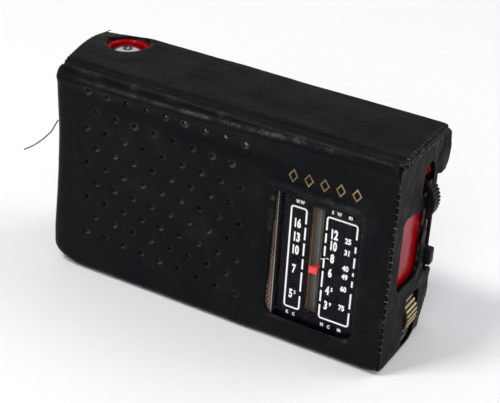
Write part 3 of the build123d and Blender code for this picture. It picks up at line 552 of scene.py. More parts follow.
def flat_plate(outline, holes, thickness, voxel):
    """Even quads of a flat sheet with holes: points (u, v, depth from 0 to -thickness) and their corners."""
    work = bmesh.new()
    for loop in [outline, *holes]:
        corners = [work.verts.new((u, v, 0)) for u, v in loop]
        for a, b in zip(corners, corners[1:] + corners[:1]):
            work.edges.new((a, b))
    bmesh.ops.triangle_fill(work, use_beauty=True, use_dissolve=False, edges=work.edges[:])
    grown = bmesh.ops.extrude_face_region(work, geom=work.faces[:])
    moved = [g for g in grown["geom"] if isinstance(g, bmesh.types.BMVert)]
    bmesh.ops.translate(work, verts=moved, vec=(0, 0, -thickness))
    bmesh.ops.recalc_face_normals(work, faces=work.faces[:])
    mesh = bpy.data.meshes.new("plate")
    work.to_mesh(mesh)
    work.free()
    ob = add_object("plate", mesh)
    remesh = ob.modifiers.new("even", "REMESH")
    remesh.mode = "VOXEL"
    remesh.voxel_size = voxel
    relax = ob.modifiers.new("relax", "SMOOTH")
    relax.iterations = RELAX_ROUNDS
    result = evaluated(ob)
    points = coordinates(result)
    corners = np.empty(len(result.loops), int)
    result.loops.foreach_get("vertex_index", corners)
    bpy.data.meshes.remove(result)
    return points, corners.reshape(-1, 4)


def wrap_sheet(points, low, high, corner_radii, bend):
    """A sheet that lies flat inside the inner rounded rectangle and turns over its edge with the bend radius.

    The fold is creased hard along the right edge and is round along the others. Returns u, v, the height,
    which is 0 on the flat outer face and negative behind it, and the turn.
    """
    u, v, depth = points.T
    centre = (np.array(low) + np.array(high)) / 2
    half = (np.array(high) - np.array(low)) / 2
    left, bottom = u < centre[0], v < centre[1]
    a, b, c, d = corner_radii
    radius = np.where(bottom, np.where(left, a, b), np.where(left, d, c))
    qu = np.abs(u - centre[0]) - (half[0] - radius)
    qv = np.abs(v - centre[1]) - (half[1] - radius)
    out_u, out_v = np.maximum(qu, 0), np.maximum(qv, 0)
    length = np.hypot(out_u, out_v)
    distance = length + np.minimum(np.maximum(qu, qv), 0) - radius
    safe = np.maximum(length, 1e-9)
    edge_u = np.where(length > 0, out_u / safe, (qu > qv) * 1.0) * np.sign(u - centre[0])
    edge_v = np.where(length > 0, out_v / safe, (qu <= qv) * 1.0) * np.sign(v - centre[1])
    over = np.maximum(distance, 0)
    turn = np.minimum(over / bend, pi / 2)
    extra = np.maximum(over - bend * pi / 2, 0)
    base_u, base_v = u - edge_u * over, v - edge_v * over
    crease = 1 - 0.62 * rise(edge_u, 0.3, 0.95)
    reach = (bend + depth) * np.sin(turn) ** crease
    height = (bend + depth) * np.maximum(np.cos(turn), 0) ** crease - bend - extra
    return base_u + edge_u * reach, base_v + edge_v * reach, height, turn


# ---- the case's shape
HOLE_FIRST_X, HOLE_FIRST_Z = -53.2, 73.3
HOLE_PITCH_X, HOLE_PITCH_Z = 7.85, 7.0
HOLE_RADIUS = 0.80
HOLE_ROWS = 9


def sound_holes():
    """Centres of the punched holes: nine and eight in turn, the rows falling to the right."""
    centres = []
    for row in range(HOLE_ROWS):
        fall = min(0.07, 0.036 + 0.017 * row)
        for column in range(9 - row % 2):
            x = HOLE_FIRST_X + (column + 0.5 * (row % 2)) * HOLE_PITCH_X
            centres.append((x, HOLE_FIRST_Z - row * HOLE_PITCH_Z - fall * (x - HOLE_FIRST_X)))
    return centres


# depth, size and seed of the wrinkles
WRINKLES = ((0.16, 13.0, 3), (0.08, 5.5, 5), (0.035, 2.2, 8))


def case_form(points):
    """How the old case has settled: bulges, dips and wrinkles, the same field for all its panels."""
    x, y, z = points.T
    left = rise(-x, 50, 66)
    right = rise(x, 52, 66)
    front = rise(-y, 15, 19)
    top = rise(z, 70, 80)
    rear = rise(y, -18, 8)
    # the left end stands off, most at its foot and at the rear top
    end = rise(-x, 60, 65.5)
    x = x - end * (1.3 + 1.6 * bell(z, 10, 16) - 0.5 * bell(z, 55, 10))
    x = x - rise(-x, 64.4, 66.2) * 4.2 * rear * bell(z, 80, 24)
    z = z - 1.1 * left * rise(y, 8, 20) * top + 0.35 * rise(y, -8, 4) * top * (1 - left)
    # the top: a raised ridge along the front edge, a groove behind it
    ridge = rise(z, 76, 79.5)
    z = z + ridge * (0.8 * bell(y, -18.6, 1.4) - 1.6 * bell(y, -14.8, 1.8))
    # the edge's crest, which lies lower towards the left
    y = y - front * 0.5 * bell(z, 75.0 + 1.8 * rise(x, -30, 50), 1.3)
    # the front: a soft dip under the ridge, pressed in more on the right
    dip = bell(z, 70.5 - 0.02 * x, 3.6) * rise(-abs(x + 14), -50, -34)
    y = y + front * dip * (0.8 + 0.6 * rise(x, -40, 10))
    # the lip over the dial window swells, and a little the front to the left of the window
    span = rise(x, 17, 26) * rise(-x, -60, -52)
    y = y - front * 1.2 * span * bell(z, 61.2 - 0.05 * (x - 38), 1.6)
    y = y - front * 0.35 * bell(x, 10, 12) * bell(z, 30, 24)
    # the rear ear of the right end swings out, the foot of it tucks in
    x = x + right * 0.7 * rise(y, 8, 20) * bell(z, 70, 8)
    x = x - right * 1.3 * rise(y, 2, 20) * bell(z, 0, 9)
    z = z + 0.5 * bell(z, 0, 4) * rise(abs(x), 40, 66) * (0.4 + 0.6 * left)
    placed = joined(x, y, z)
    waves = sum(depth * soft_noise(placed, size, seed) for depth, size, seed in WRINKLES)
    outward = joined(x / HALF, y / BACK_Y, (z - HEIGHT / 2) / (HEIGHT / 2)) ** 7
    outward /= np.maximum(np.linalg.norm(outward, axis=1, keepdims=True), 1e-6)
    placed += outward * waves[:, None]
    placed[:, 2] = np.maximum(placed[:, 2], 0.02)
    return placed


def leather_piece(name, points, quads, material, wear_and_sheen, rim=0.0, body=CASE, formed=True):
    """Mesh object from millimetre points, with the wear_and_sheen and rim attributes that the leather reads;
    both carry painted highlights as well as worn patches and raw hide.
    """
    placed = case_form(points) if formed else points
    mesh = bpy.data.meshes.new(name)
    mesh.vertices.add(len(placed))
    mesh.vertices.foreach_set("co", (placed * MM).ravel())
    mesh.loops.add(quads.size)
    mesh.loops.foreach_set("vertex_index", quads.ravel())
    mesh.polygons.add(len(quads))
    mesh.polygons.foreach_set("loop_start", np.arange(0, quads.size, 4))
    mesh.update(calc_edges=True)
    for key, value in (("wear_and_sheen", wear_and_sheen), ("rim", rim)):
        attribute = mesh.attributes.new(key, "FLOAT", "POINT")
        shares = np.clip(np.broadcast_to(value, len(placed)), 0, 1)
        attribute.data.foreach_set("value", shares.astype(np.float32))
    mesh.materials.append(material)
    ob = link_mesh(name, mesh, angle=3.2)
    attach(ob, body)
    return ob


FRONT_BEND = 3.0
SKIRT = 0.4
FRONT_CORNERS = (5.0, 2.5, 0.8, 1.5)
FINE_VOXEL = 0.5
RIDGE_LEFT, RIDGE_RISE = 76.9, 1.9
WINDOW = {"left_top": 23.0, "left_low": 21.2, "right": 54.6, "low": 9.5, "high": 58.6}
WINDOW_CORNER, WINDOW_ARCH = 4.0, 0.7


def window_outline():
    """Opening over the dial: a slanted left edge, rounded lower corners and a slightly arched top."""
    w, bend = WINDOW, WINDOW_CORNER
    points = arc(w["left_low"] + bend, w["low"] + bend, bend, 180, 270)
    points += arc(w["right"] - bend, w["low"] + bend, bend, 270, 360)
    steps = 10
    for k in range(steps + 1):
        t = k / steps
        arch = WINDOW_ARCH * sin(pi * t)
        points.append((w["right"] + (w["left_top"] - w["right"]) * t, w["high"] - 0.8 + 0.8 * t + arch))
    return points


def nearest_hole(flat):
    """Distance from the nearest punched hole's centre, and how far to its lower right the point lies."""
    nearest, side = np.full(len(flat), 99.0), np.zeros(len(flat))
    for x, z in sound_holes():
        across, above = flat[:, 0] - x, flat[:, 1] - z
        away = np.hypot(across, above)
        closer = away < nearest
        nearest = np.where(closer, away, nearest)
        side = np.where(closer, (across - above) / np.maximum(away, 0.1), side)
    return nearest, side


def make_front(material):
    """Punched front: an even sheet that turns over the case's edges and sinks at the holes and the window."""
    low = (-HALF + FRONT_BEND, FRONT_BEND)
    high = (HALF - FRONT_BEND, HEIGHT - FRONT_BEND)
    grow = FRONT_BEND * pi / 2 + SKIRT
    radii = [c + grow for c in FRONT_CORNERS]
    outline = rounded((low[0] - grow, low[1] - grow), (high[0] + grow, high[1] + grow), radii, 12)
    seam_u = high[0] + 0.9 * FRONT_BEND
    outline = [(min(u, seam_u), v) for u, v in outline]
    holes = [window_outline()] + [oval(x, z, HOLE_RADIUS, steps=14) for x, z in sound_holes()]
    flat, quads = flat_plate(outline, holes, LEATHER, FINE_VOXEL)
    u, v, height, turn = wrap_sheet(flat, low, high, FRONT_CORNERS, FRONT_BEND)
    flat_u, flat_v, depth = flat.T
    nearest, side = nearest_hole(flat)
    past_u = np.maximum(WINDOW["left_low"] - flat_u, flat_u - WINDOW["right"])
    past_v = np.maximum(WINDOW["low"] - flat_v, flat_v - WINDOW["high"])
    past_window = np.maximum(np.maximum(past_u, past_v), 0)
    y = FRONT_Y - height + 0.25 * bell(nearest, 0.7, 0.8) + 0.45 * bell(past_window, 0, 1.6)
    points = joined(u, y, v)

    # rim: the raw fresh walls of the holes; the lighter lip on each hole's lower right and the faint ring
    # round the holes of the upper rows are painted highlights
    noise = soft_noise(points, 2.4, 21)
    wall = (depth < -0.45) & (nearest < 1.6)
    fresh = np.clip(0.55 + 0.9 * soft_noise(points, 6.5, 23), 0.1, 1)
    # painted highlight: a lighter lip on the lit lower right of each hole, and a faint ring round the upper
    # holes
    lip = bell(nearest, 1.0, 0.2) * rise(side + 0.5 * noise, 0.1, 1.2)
    ring = 0.13 * bell(nearest, 1.35, 0.22) * rise(v, 52, 74)
    rim = np.where(wall, 0.35 * fresh, np.maximum(0.3 * lip, ring) * fresh)

    # wear_and_sheen: a painted highlight along the crest of the top edge and a painted sheen on the lip over
    # the window; real wear on the folds and along the window's edge
    # painted highlight along the crest of the top edge
    ridge = bell(flat_v, RIDGE_LEFT + RIDGE_RISE * rise(u, -30, 50), 0.55)
    patchy = 0.25 + 0.75 * rise(noise + soft_noise(points, 9.0, 4), -0.4, 0.8)
    # painted sheen on the swelling lip over the window
    sheen = bell(v, 61.4 - 0.05 * (u - 38), 0.9) * rise(u, 21, 28) * rise(-u, -58, -50)
    wear_and_sheen = 0.75 * ridge * patchy * rise(-abs(u + 5), -60, -30) + 0.42 * sheen * patchy
    wear_and_sheen += 0.25 * bell(turn, 0.9, 0.5) * patches(points, 5.0, 6, 0.1, 0.8)
    wear_and_sheen += 0.3 * bell(past_window, 0.2, 0.5) * rise(noise, 0.0, 0.8)
    ob = leather_piece("leather_front", points, quads, material, wear_and_sheen, rim)
    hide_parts("case_front_panel")


TOP_BEND = 2.0
ANTENNA_HOLE = (-56.25, 10.7)
ANTENNA_HOLE_RADII = (7.35, 8.0)


def make_top(material):
    """Top: turned over the ends and the back, with the antenna's hole; it starts behind the front's skirt."""
    low, high = (-HALF + TOP_BEND, -60.0), (HALF - TOP_BEND, BACK_Y - TOP_BEND)
    grow = TOP_BEND * pi / 2
    front, back = FRONT_Y + FRONT_BEND + SKIRT + 0.15, high[1] + grow - 0.6
    outline = rounded((low[0] - grow, front), (high[0] + grow, back), (0.5, 0.5, 4.0, 5.0))
    hole = oval(*ANTENNA_HOLE, *ANTENNA_HOLE_RADII, steps=40)
    flat, quads = flat_plate(outline, [hole], LEATHER, FINE_VOXEL)
    u, v, height, turn = wrap_sheet(flat, low, high, (1, 1, 1.5, 2.5), TOP_BEND)
    points = joined(u, v, HEIGHT + height)
    away = np.hypot(flat[:, 0] - ANTENNA_HOLE[0], flat[:, 1] - ANTENNA_HOLE[1])
    noise = soft_noise(points, 3.0, 31)
    wear_and_sheen = 0.3 * bell(away, ANTENNA_HOLE_RADII[1] + 0.3, 0.5) * rise(noise, -0.2, 0.7)
    wear_and_sheen += 0.35 * bell(turn, 0.8, 0.5) * rise(noise, 0.0, 0.9)
    rim = 0.15 * bell(u, HALF, 0.9) * patches(points, 1.3, 33, 0.2, 0.7)
    ob = leather_piece("leather_top", points, quads, material, wear_and_sheen, rim)
    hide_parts("case_top_panel")


# outline of the right end; the rear edge has an ear at the top, a scoop round wheel and lever, a full foot
RIGHT_END = [
    (-19.2, 1.6), (-19.2, 78.6), (18.8, 78.5), (20.4, 76.8), (20.9, 70.0), (20.7, 64.8), (19.8, 63.0),
    (13.2, 63.6), (10.4, 61.6), (8.4, 60.0), (8.2, 49.6), (9.0, 46.0), (10.4, 42.4), (10.6, 27.6),
    (11.4, 26.2), (17.4, 25.4), (18.8, 23.8), (18.8, 14.0), (16.9, 3.4), (15.4, 0.7), (-15.0, 0.7),
]
RIGHT_SIDE_HOLE = [
    (-11.4, 31.0), (-10.8, 29.6), (-9.4, 29.0), (2.4, 28.6), (4.6, 29.6), (5.8, 31.6),
    (6.1, 46.0), (6.9, 49.5), (6.9, 53.6), (-9.5, 56.8), (-10.9, 56.4), (-11.4, 55.2),
]
WHEEL_SLOT = [(-1.1, 1.8), (9.3, 1.8), (9.1, 20.2), (8.4, 21.0), (-0.4, 21.0), (-1.1, 20.2)]


def make_right_end(material):
    """Right end with three openings, scuffed along its front and top edges."""
    holes = [RIGHT_SIDE_HOLE, WHEEL_SLOT, oval(5.6, 65.0, 4.3, 6.6, 28)]
    flat, quads = flat_plate(RIGHT_END, holes, LEATHER, 0.45)
    u, v, depth = flat.T
    swell = 0.25 * soft_noise(joined(u, v, u), 4.0, 43) * rise(u, 2, 8)
    points = joined(HALF + depth + swell, u, v)
    noise = soft_noise(points, 2.0, 41)
    wear_and_sheen = 0.5 * (bell(u, -18.9, 0.7) + bell(v, 77.9, 0.7)) * rise(noise, 0.0, 0.8)
    rear = rise(u, 4.0, 8.0) * (v > 26) * (v < 63)
    rim = 0.55 * (depth < -0.3) * (depth > -LEATHER + 0.3) * rear * rise(noise, -0.4, 0.5)
    ob = leather_piece("leather_right_end", points, quads, material, wear_and_sheen, rim)
    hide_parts("case_right_end_panel")


def make_left_end(material):
    """Left end with the hole of the earphone jack."""
    jack = middle_mm("earphone_jack")
    outline = rounded((-16.4, 1.2), (19.0, 78.2), (2.0, 2.0, 4.5, 1.0))
    flat, quads = flat_plate(outline, [oval(jack[1], jack[2], 4.5, steps=28)], LEATHER, 0.6)
    u, v, depth = flat.T
    points = joined(-HALF - depth, u, v)
    wear_and_sheen = 0.3 * (bell(u, -15.8, 0.9) + bell(v, 77.6, 0.8)) * patches(points, 2.4, 51)
    ob = leather_piece("leather_left_end", points, quads, material, wear_and_sheen)
    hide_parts("case_left_end_panel")


def make_bottom(material):
    outline = rounded((-63.5, -16.4), (63.5, 19.0), (1.5, 1.5, 2.0, 2.0))
    flat, quads = flat_plate(outline, [], LEATHER, 0.8)
    u, v, depth = flat.T
    points = joined(u, v, -depth)
    wear_and_sheen = 0.4 * patches(points, 2.4, 61, 0.2, 0.9)
    ob = leather_piece("leather_bottom", points, quads, material, wear_and_sheen)
    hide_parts("case_bottom_panel")


BACK_VOXEL = 0.7
FLAP_FOOT = 14.6
TAB_HALF = 6.5


def make_hem(material):
    """Low hem of the back, which the flap closes over."""
    low, high = box_mm("case_back_hem")
    outline = rounded((low[0] - 1, 1.4), (high[0] + 1, high[2]), (3, 3, 0.8, 0.8))
    flat, quads = flat_plate(outline, [], LEATHER, BACK_VOXEL)
    u, v, depth = flat.T
    points = joined(u, BACK_Y + depth, v)
    wear_and_sheen = 0.3 * bell(v, high[2], 0.8) * patches(points, 2.5, 71)
    ob = leather_piece("leather_back_hem", points, quads, material, wear_and_sheen)
    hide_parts("case_back_hem")


def make_flap(material):
    """The back flap, a little wider on the left, where it covers the end's edge."""
    high = box_mm("case_back_flap")[1]
    top, half = high[2] - 0.1, high[0] - 0.2
    outline = rounded((-half - 1.4, FLAP_FOOT), (half, top), (2.0, 2.0, 2.5, 7.0))
    flat, quads = flat_plate(outline, [], LEATHER - 0.1, BACK_VOXEL)
    u, v, depth = flat.T
    swell = 0.5 * bell(u, 0, 45) * bell(v, 46, 26)
    points = joined(u, BACK_Y + depth + swell - 0.05, v)
    points[:, 1] += 0.12 * soft_noise(points, 12.0, 72) + 0.05 * soft_noise(points, 4.0, 73)
    edges = bell(v, FLAP_FOOT, 0.9) + bell(abs(u), half, 0.9)
    wear_and_sheen = 0.35 * edges * patches(points, 2.5, 74)
    ob = leather_piece("leather_flap", points, quads, material, wear_and_sheen, body="back_flap", formed=False)
    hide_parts("case_back_flap")


def make_tabs(material):
    """The flap's two tabs, each of which ends in a half circle round its snap."""
    low, high = box_mm("snap_caps")
    radius = (high[2] - low[2]) / 2
    z, half = high[2] - radius, TAB_HALF
    for name, x in (("flap_tab_left", radius - high[0]), ("flap_tab_right", high[0] - radius)):
        outline = arc(x, z, half, 180, 360, 12)
        outline += [(x + half, 20.5), (x + half - 1.5, 22.2), (x - half + 1.5, 22.2), (x - half, 20.5)]
        flat, quads = flat_plate(outline, [oval(x, z, 2.4)], LEATHER, 0.5)
        u, v, depth = flat.T
        lift = 0.55 - 0.25 * rise(v, 14, 21)
        points = joined(u, BACK_Y + LEATHER + lift + depth, v)
        wear_and_sheen = 0.4 * patches(points, 1.8, 75, 0.1, 0.9)
        leather_piece(name, points, quads, material, wear_and_sheen, body="back_flap", formed=False)


LINER_PROFILE = [(14.5, 78.42), (17.6, 78.42), (18.3, 78.3), (18.42, 77.6), (18.42, 76.6), (18.42, 73.0)]
LINER_LEFT, LINER_LENGTH, LINER_THICKNESS = -47.0, 107.0, 0.35


def make_liner(material):
    """Thin liner that carries the flap's bend, inside the top edge."""
    parts, thick = 24, LINER_THICKNESS
    inner = [(y - thick, z) if z < 78.2 else (y, z - thick) for y, z in LINER_PROFILE]
    profile = LINER_PROFILE + inner[::-1]
    loops = []
    for i in range(parts + 1):
        x = LINER_LEFT + LINER_LENGTH * i / parts
        loops.append([(x, y, z) for y, z in profile])
    liner = Shape()
    liner.loft(loops)
    strip = liner.build("flap_bend_liner", [material])
    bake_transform(strip)


# ---- seams, ornament, thread
def on_case(points):
    """Millimetre points of the ideal box, moved as the settled leather has moved."""
    return case_form(np.array(points, float))


def whip_stitch(shape, start, end, lift, radius, kind):
    """One stitch: a short arc of thread from start to end that rises by the vector lift in between."""
    start, end, lift = np.array(start, float), np.array(end, float), np.array(lift, float)
    path = [start + (end - start) * t + lift * sin(pi * t) for t in (0, 0.2, 0.4, 0.6, 0.8, 1)]
    shape.tube(on_case(path), radius, 6, kind)


def make_stitches(dark, pale):
    """Whip stitches along the top seam of the right end and small ones down its front edge."""
    draw = np.random.default_rng(11)
    shape = Shape()
    for i in range(19):
        y = -17.6 + 1.9 * i
        kind = int(draw.random() < 0.10)
        start = (HALF - 1.7, y - 0.2, HEIGHT + 0.02)
        end = (HALF + 0.05, y + 1.0, HEIGHT - 1.8)
        whip_stitch(shape, start, end, (0.45, 0, 0.45), 0.18, kind)
    for i in range(26):
        z = 74.0 - 2.55 * i
        kind = int(28 < z < 66 and draw.random() < 0.3)
        start = (HALF - 0.35, FRONT_Y + 0.25, z)
        end = (HALF + 0.12, FRONT_Y + 1.7, z - 0.9)
        whip_stitch(shape, start, end, (0.18, -0.18, 0), 0.13 if kind else 0.17, kind)
    for i in range(20):
        y = -15.0 + 1.75 * i
        start = (-HALF + 1.4, y, HEIGHT + 0.05)
        end = (-HALF - 0.1, y + 0.8, HEIGHT - 1.6)
        whip_stitch(shape, start, end, (-0.14, 0, 0.14), 0.16, 0)
    ob = shape.build("seam_stitches", [dark, pale])
    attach(ob, CASE)
    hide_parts("case_stitches")


def make_ornament(foil):
    """The worn gold lozenge outlines over the window, laid on the settled leather."""
    low, high = box_mm("foil_ornament")
    tall, middle = (high[2] - low[2]) / 2, (high[2] + low[2]) / 2
    wide, inner, count, steps = 1.8, 0.66, 5, 6
    pitch = (high[0] - low[0] - 2 * wide) / (count - 1)
    corners = [(wide, 0), (0, tall), (-wide, 0), (0, -tall)]
    ring = []
    for (ax, az), (bx, bz) in zip(corners, corners[1:] + corners[:1]):
        for k in range(steps):
            t = k / steps
            ring.append((ax + (bx - ax) * t, az + (bz - az) * t))
    shape = Shape()
    for i in range(count):
        x = low[0] + wide + pitch * i
        loops = []
        for scale, depth in ((1.0, -0.12), (inner, -0.12), (inner, 0.25), (1.0, 0.25)):
            loops.append(on_case([(x + px * scale, FRONT_Y + depth, middle + pz * scale) for px, pz in ring]))
        shape.loft(loops, ring=True)
    ob = shape.build("gold_ornament", [foil])
    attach(ob, CASE)
    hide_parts("foil_ornament")


THREAD_DIAMETER = 0.5
THREAD_ROUTE = [
    (-66.2, -19.3, 58.1), (-68.8, -18.1, 54.4), (-70.9, -16.9, 51.2), (-73.5, -15.6, 48.6),
    (-76.7, -14.4, 45.3), (-79.6, -13.2, 42.7), (-82.7, -11.9, 40.0), (-85.9, -10.7, 37.6),
    (-89.1, -9.5, 35.3),
]


def make_thread(material):
    """The loose end of thread, as a curve whose control points are the CAD route."""
    data = bpy.data.curves.new("thread_end", "CURVE")
    data.dimensions = "3D"
    data.bevel_depth = THREAD_DIAMETER / 2 * MM
    data.bevel_resolution = 4
    data.resolution_u = 12
    data.use_fill_caps = True
    spline = data.splines.new("NURBS")
    spline.points.add(len(THREAD_ROUTE) - 1)
    for point, place in zip(spline.points, THREAD_ROUTE):
        point.co = (*(c * MM for c in place), 1)
    spline.order_u = 3
    spline.use_endpoint_u = True
    data.materials.append(material)
    ob = add_object("thread_end", data)
    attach(ob, CASE)
    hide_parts("loose_thread")


# ---- dial
def ribbon(shape, points, y_front, y_back, width):
    """Flat stroke of that width along points (x, z)."""
    points = [np.array(p, float) for p in points]
    loops = []
    for i, point in enumerate(points):
        run = points[min(i + 1, len(points) - 1)] - points[max(i - 1, 0)]
        across = np.array([-run[1], run[0]]) / np.linalg.norm(run) * width / 2
        (x0, z0), (x1, z1) = point + across, point - across
        loops.append([(x0, y_front, z0), (x1, y_front, z1), (x1, y_back, z1), (x0, y_back, z0)])
    shape.loft(loops)


def figure(shape, body, x, z, height, y_front):
    """Printed figures centred at x and z, condensed, the small ones less so."""
    data = bpy.data.curves.new("figure", "FONT")
    data.body = body
    data.offset = 0.045
    data.extrude = 0.03
    data.resolution_u = 3
    holder = add_object("figure", data)
    bpy.context.view_layer.update()
    mesh = evaluated(holder)
    points = coordinates(mesh)
    middle = (points.min(axis=0) + points.max(axis=0)) / 2
    scale_z = height / (points[:, 1].max() - points[:, 1].min())
    scale_x = scale_z * (0.60 if height > 3 else 0.82)
    placed = [(x + px * scale_x, y_front - pz - 0.03, z + py * scale_z) for px, py, pz in points - middle]
    shape.add(placed, [tuple(f.vertices) for f in mesh.polygons])


DIAL_LOW, DIAL_HIGH, DIAL_BEND = 13.8, 53.4, 0.9
DIAL_LEFT_SCALE = (27.75, 33.45)
DIAL_RIGHT_SCALE = (41.2, 52.25)
DIAL_STROKE = 0.62
# straight bits of the frames between the figures: x, then top and foot of each bit
DIAL_BITS = {
    33.45: ((46.5, 41.7), (40.4, 35.5), (34.2, 30.2), (28.9, 21.2)),
    41.2: ((47.0, 43.4), (42.1, 38.3), (37.3, 33.6), (32.3, 26.0), (24.7, 20.3)),
    52.25: ((45.4, 43.1), (41.2, 37.3), (35.4, 34.1), (32.1, 29.7), (27.1, 21.1)),
}
# text, x, z, height
DIAL_FIGURES = [
    ("16", 30.5, 47.4, 3.7), ("13", 30.55, 42.0, 3.7), ("10", 30.5, 37.0, 3.7), ("7", 30.4, 29.4, 3.5),
    ("5", 29.9, 19.3, 3.6), ("12", 44.3, 47.5, 3.8), ("10", 44.3, 43.1, 3.7), ("8", 44.2, 38.2, 3.6),
    ("6", 43.9, 32.5, 3.6), ("4", 43.5, 25.4, 3.5), ("3", 43.4, 19.4, 3.5),
    ("25", 49.3, 46.6, 2.2), ("31", 49.3, 42.2, 2.2), ("40", 49.3, 36.1, 2.2), ("49", 49.3, 32.8, 2.2),
    ("60", 49.3, 28.0, 2.2), ("75", 49.3, 20.4, 2.2),
    ("3", 31.4, 20.2, 1.5), ("5", 45.1, 26.2, 1.5), ("9", 45.0, 20.2, 1.5),
    ("M", 29.9, 55.6, 1.4), ("W", 31.6, 55.6, 1.4), ("S", 42.9, 55.6, 1.4), ("W", 45.3, 55.6, 1.4),
    ("m", 49.4, 55.5, 1.2), ("K", 29.2, 11.5, 1.3), ("C", 31.6, 11.4, 1.3),
    ("M", 42.6, 11.3, 1.4), ("C", 45.2, 11.2, 1.4), ("m", 49.2, 11.3, 1.2),
]


def dial_corners(left, right, quarters):
    """Rounded corners of a dial frame, counted from the upper right one against the clock."""
    bend, low, high = DIAL_BEND, DIAL_LOW + DIAL_BEND, DIAL_HIGH - DIAL_BEND
    centres = [(right - bend, high), (left + bend, high), (left + bend, low), (right - bend, low)]
    return [p for q in quarters for p in arc(*centres[q], bend, 90 * q, 90 * q + 90)]


def make_dial_print(white):
    """Frames, figures and letters of the dial scale, a thin white print on the black plate."""
    face = box_mm("dial_scale_plate")[0][1]
    front, back = face - 0.04, face + 0.02
    (a, b), (c, d) = DIAL_LEFT_SCALE, DIAL_RIGHT_SCALE
    strokes = [
        [(b, 47.9), *dial_corners(a, b, (0, 1, 2, 3)), (b, 19.3)],
        [(d, 48.2), *dial_corners(c, d, (0, 1)), (c, 48.3)],
        [(c, 19.0), *dial_corners(c, d, (2, 3)), (d, 19.4)],
    ]
    for x, bits in DIAL_BITS.items():
        strokes += [[(x, top), (x, foot)] for top, foot in bits]
    shape = Shape()
    for stroke in strokes:
        ribbon(shape, stroke, front, back, DIAL_STROKE)
    for x0, x1, z in ((39.9, 40.7, 36.8), (41.9, 43.0, 37.6)):
        ribbon(shape, [(x0, z), (x1, z)], front, back, 0.3)
    for body, x, z, height in DIAL_FIGURES:
        figure(shape, body, x, z, height, face)
    ob = shape.build("dial_print", [white], smooth=False)
    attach(ob, CASE)


GRILLE_EDGE = 23.38


def make_window_border(black):
    """Black border printed round the edge of the clear window."""
    low, high = box_mm("dial_window")
    x0, x1, z0, z1 = GRILLE_EDGE, high[0], low[2], high[2]
    y0, y1, wide = low[1] - 0.03, low[1] + 0.05, 1.05
    shape = Shape()
    shape.box((x0, y0, z0), (x0 + wide, y1, z1))
    shape.box((x1 - wide, y0, z0), (x1, y1, z1))
    shape.box((x0 + wide, y0, z0), (x1 - wide, y1, z0 + wide))
    shape.box((x0 + wide, y0, z1 - wide), (x1 - wide, y1, z1))
    ob = shape.build("window_border", [black], smooth=False)
    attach(ob, CASE)


COLLAR_LOW, COLLAR_HIGH = (-65.4, 1.4, 77.6), (-47.4, 18.4, 78.3)


def make_cup_collar(red):
    """Red collar of the antenna's cup: a plate with a flared hole, under the hole in the leather."""
    cx, cy = middle_mm("antenna_tube")[:2]
    radius, flare, steps = 6.4, 1.05, 48
    (x0, y0, z0), (x1, y1, z1) = COLLAR_LOW, COLLAR_HIGH
    inner = oval(cx, cy, radius, steps=steps)
    flared = oval(cx, cy, radius * flare, steps=steps)
    outer = []
    for c, s in oval(0, 0, 1, steps=steps):
        reach = 1 / max(c / ((x1 if c > 0 else x0) - cx), s / ((y1 if s > 0 else y0) - cy))
        outer.append((cx + reach * c, cy + reach * s))
    shape = Shape()
    levels = ((inner, z0), (inner, z1 - 0.35), (flared, z1), (outer, z1), (outer, z0))
    shape.loft([[(x, y, z) for x, y in outline] for outline, z in levels], ring=True)
    ob = shape.build("antenna_cup_collar", [red])
    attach(ob, CASE)


def make_tip_marks(black, grey):
    """Black disc in the dimple in the middle of the antenna's tip, painted shade of the dimple, with the end
    of the innermost tube in it.
    """
    x, y = middle_mm("antenna_tip")[:2]
    top = box_mm("antenna_tip")[1][2]
    shape = Shape()
    # the black disc is painted shade at the bottom of the dimple
    shape.tube([(x, y, top - 1.1), (x, y, top - 0.45)], 1.82, 28, 0, normal=(0, 1, 0))
    shape.tube([(x, y, top - 0.5), (x, y, top - 0.12)], 0.72, 16, 1, normal=(0, 1, 0))
    ob = shape.build("antenna_tip_marks", [black, grey])
    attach(ob, "antenna_5")


def make_slot_edge(bronze):
    """Bronze strip that shows along the left side and the foot of the pointer slot."""
    shape = Shape()
    shape.box((35.25, -16.2, 14.0), (36.1, -15.9, 55.4))
    shape.box((35.25, -16.2, 14.0), (40.0, -15.9, 15.0))
    ob = shape.build("slot_edge", [bronze], smooth=False)
    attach(ob, CASE)


# left and right edge (None for the sheet's own), pitch across and along, radius of the perforations
GRILLE_CELLS = ((None, 16.0, 1.30, 1.12, 0.34), (16.0, None, 1.14, 1.0, 0.43))
CELL_CORNERS = ((1, 0), (1, 1), (0, 1), (-1, 1), (-1, 0), (-1, -1), (0, -1), (1, -1))
GRILLE_BEADS = 74


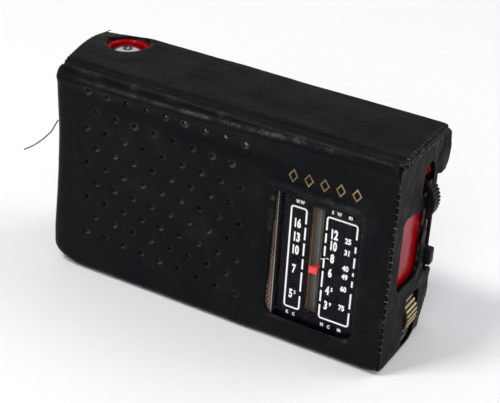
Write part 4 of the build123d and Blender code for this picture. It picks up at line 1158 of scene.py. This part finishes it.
def make_grille(metal, edge):
    """Perforated speaker sheet: staggered small holes in dark metal, with a beaded cut edge at the right."""
    low, high = box_mm("speaker_grille")
    shape = Shape()
    y0, y1 = low[1], low[1] + 0.16
    for left, right, across, along, radius in GRILLE_CELLS:
        x0, x1 = left or low[0], right or GRILLE_EDGE
        columns = int((x1 - x0) / across)
        rows = int((high[2] - low[2]) / along)
        size_x, size_z = (x1 - x0) / columns, (high[2] - low[2]) / rows
        for i in range(columns):
            for j in range(rows):
                shift = 0.2 if j % 2 else -0.2
                cx, cz = x0 + size_x * (i + 0.5), low[2] + size_z * (j + 0.5)
                cell = [(cx + size_x / 2 * u, cz + size_z / 2 * v) for u, v in CELL_CORNERS]
                hole = oval(cx + shift, cz, radius, steps=8)
                levels = ((cell, y0), (hole, y0), (hole, y1))
                shape.loft([[(x, y, z) for x, z in outline] for outline, y in levels], capped=False)
    step = (high[2] - low[2]) / GRILLE_BEADS
    for k in range(GRILLE_BEADS):
        z = low[2] + step * (k + 0.5)
        shape.box((GRILLE_EDGE - 0.34, y0 - 0.05, z - 0.33 * step), (GRILLE_EDGE, y1, z + 0.33 * step), 1)
    ob = shape.build("grille_sheet", [metal, edge], smooth=False)
    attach(ob, CASE)
    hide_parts("speaker_grille")


def make_grille_shade(painted_shade):
    """Black sheet behind the perforations, painted shade that keeps the holes dark."""
    low, high = box_mm("speaker_grille")
    shape = Shape()
    shape.box((low[0] + 0.2, low[1] + 0.2, low[2] + 0.2), (high[0] - 0.2, high[1] - 0.02, high[2] - 0.2))
    ob = shape.build("grille_shade_sheet", [painted_shade], smooth=False)
    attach(ob, CASE)


# ---- main
LOOKS = make_materials()


def dress_cad_nodes():
    """Every CAD node gets its slot's material, and the wheel's rim its own."""
    for part in frame["record"]["subparts"]:
        materials = NODES[part["node"]].data.materials
        materials.clear()
        materials.append(LOOKS[part["material_slot"]])
    NODES["tuning_wheel_rim"].data.materials[0] = LOOKS["wheel_brass"]


dress_cad_nodes()
set_stage()
set_camera()
PIECES = (
    (make_front, "black_leather"), (make_top, "top_leather"), (make_right_end, "end_leather"),
    (make_left_end, "black_leather"), (make_bottom, "black_leather"), (make_hem, "black_leather"),
    (make_flap, "black_leather"), (make_tabs, "black_leather"), (make_liner, "black_leather"),
    (make_stitches, "seam_thread", "pale_thread"), (make_ornament, "gold_foil"), (make_thread, "seam_thread"),
    (make_dial_print, "scale_white"), (make_slot_edge, "bronze_edge"), (make_window_border, "dial_black"),
    (make_cup_collar, "red_plastic"), (make_tip_marks, "black_plastic", "steel"),
    (make_grille, "grille_metal", "grille_bead"), (make_grille_shade, "grille_shadow"),
)
for make, *looks in PIECES:
    make(*(LOOKS[name] for name in looks))
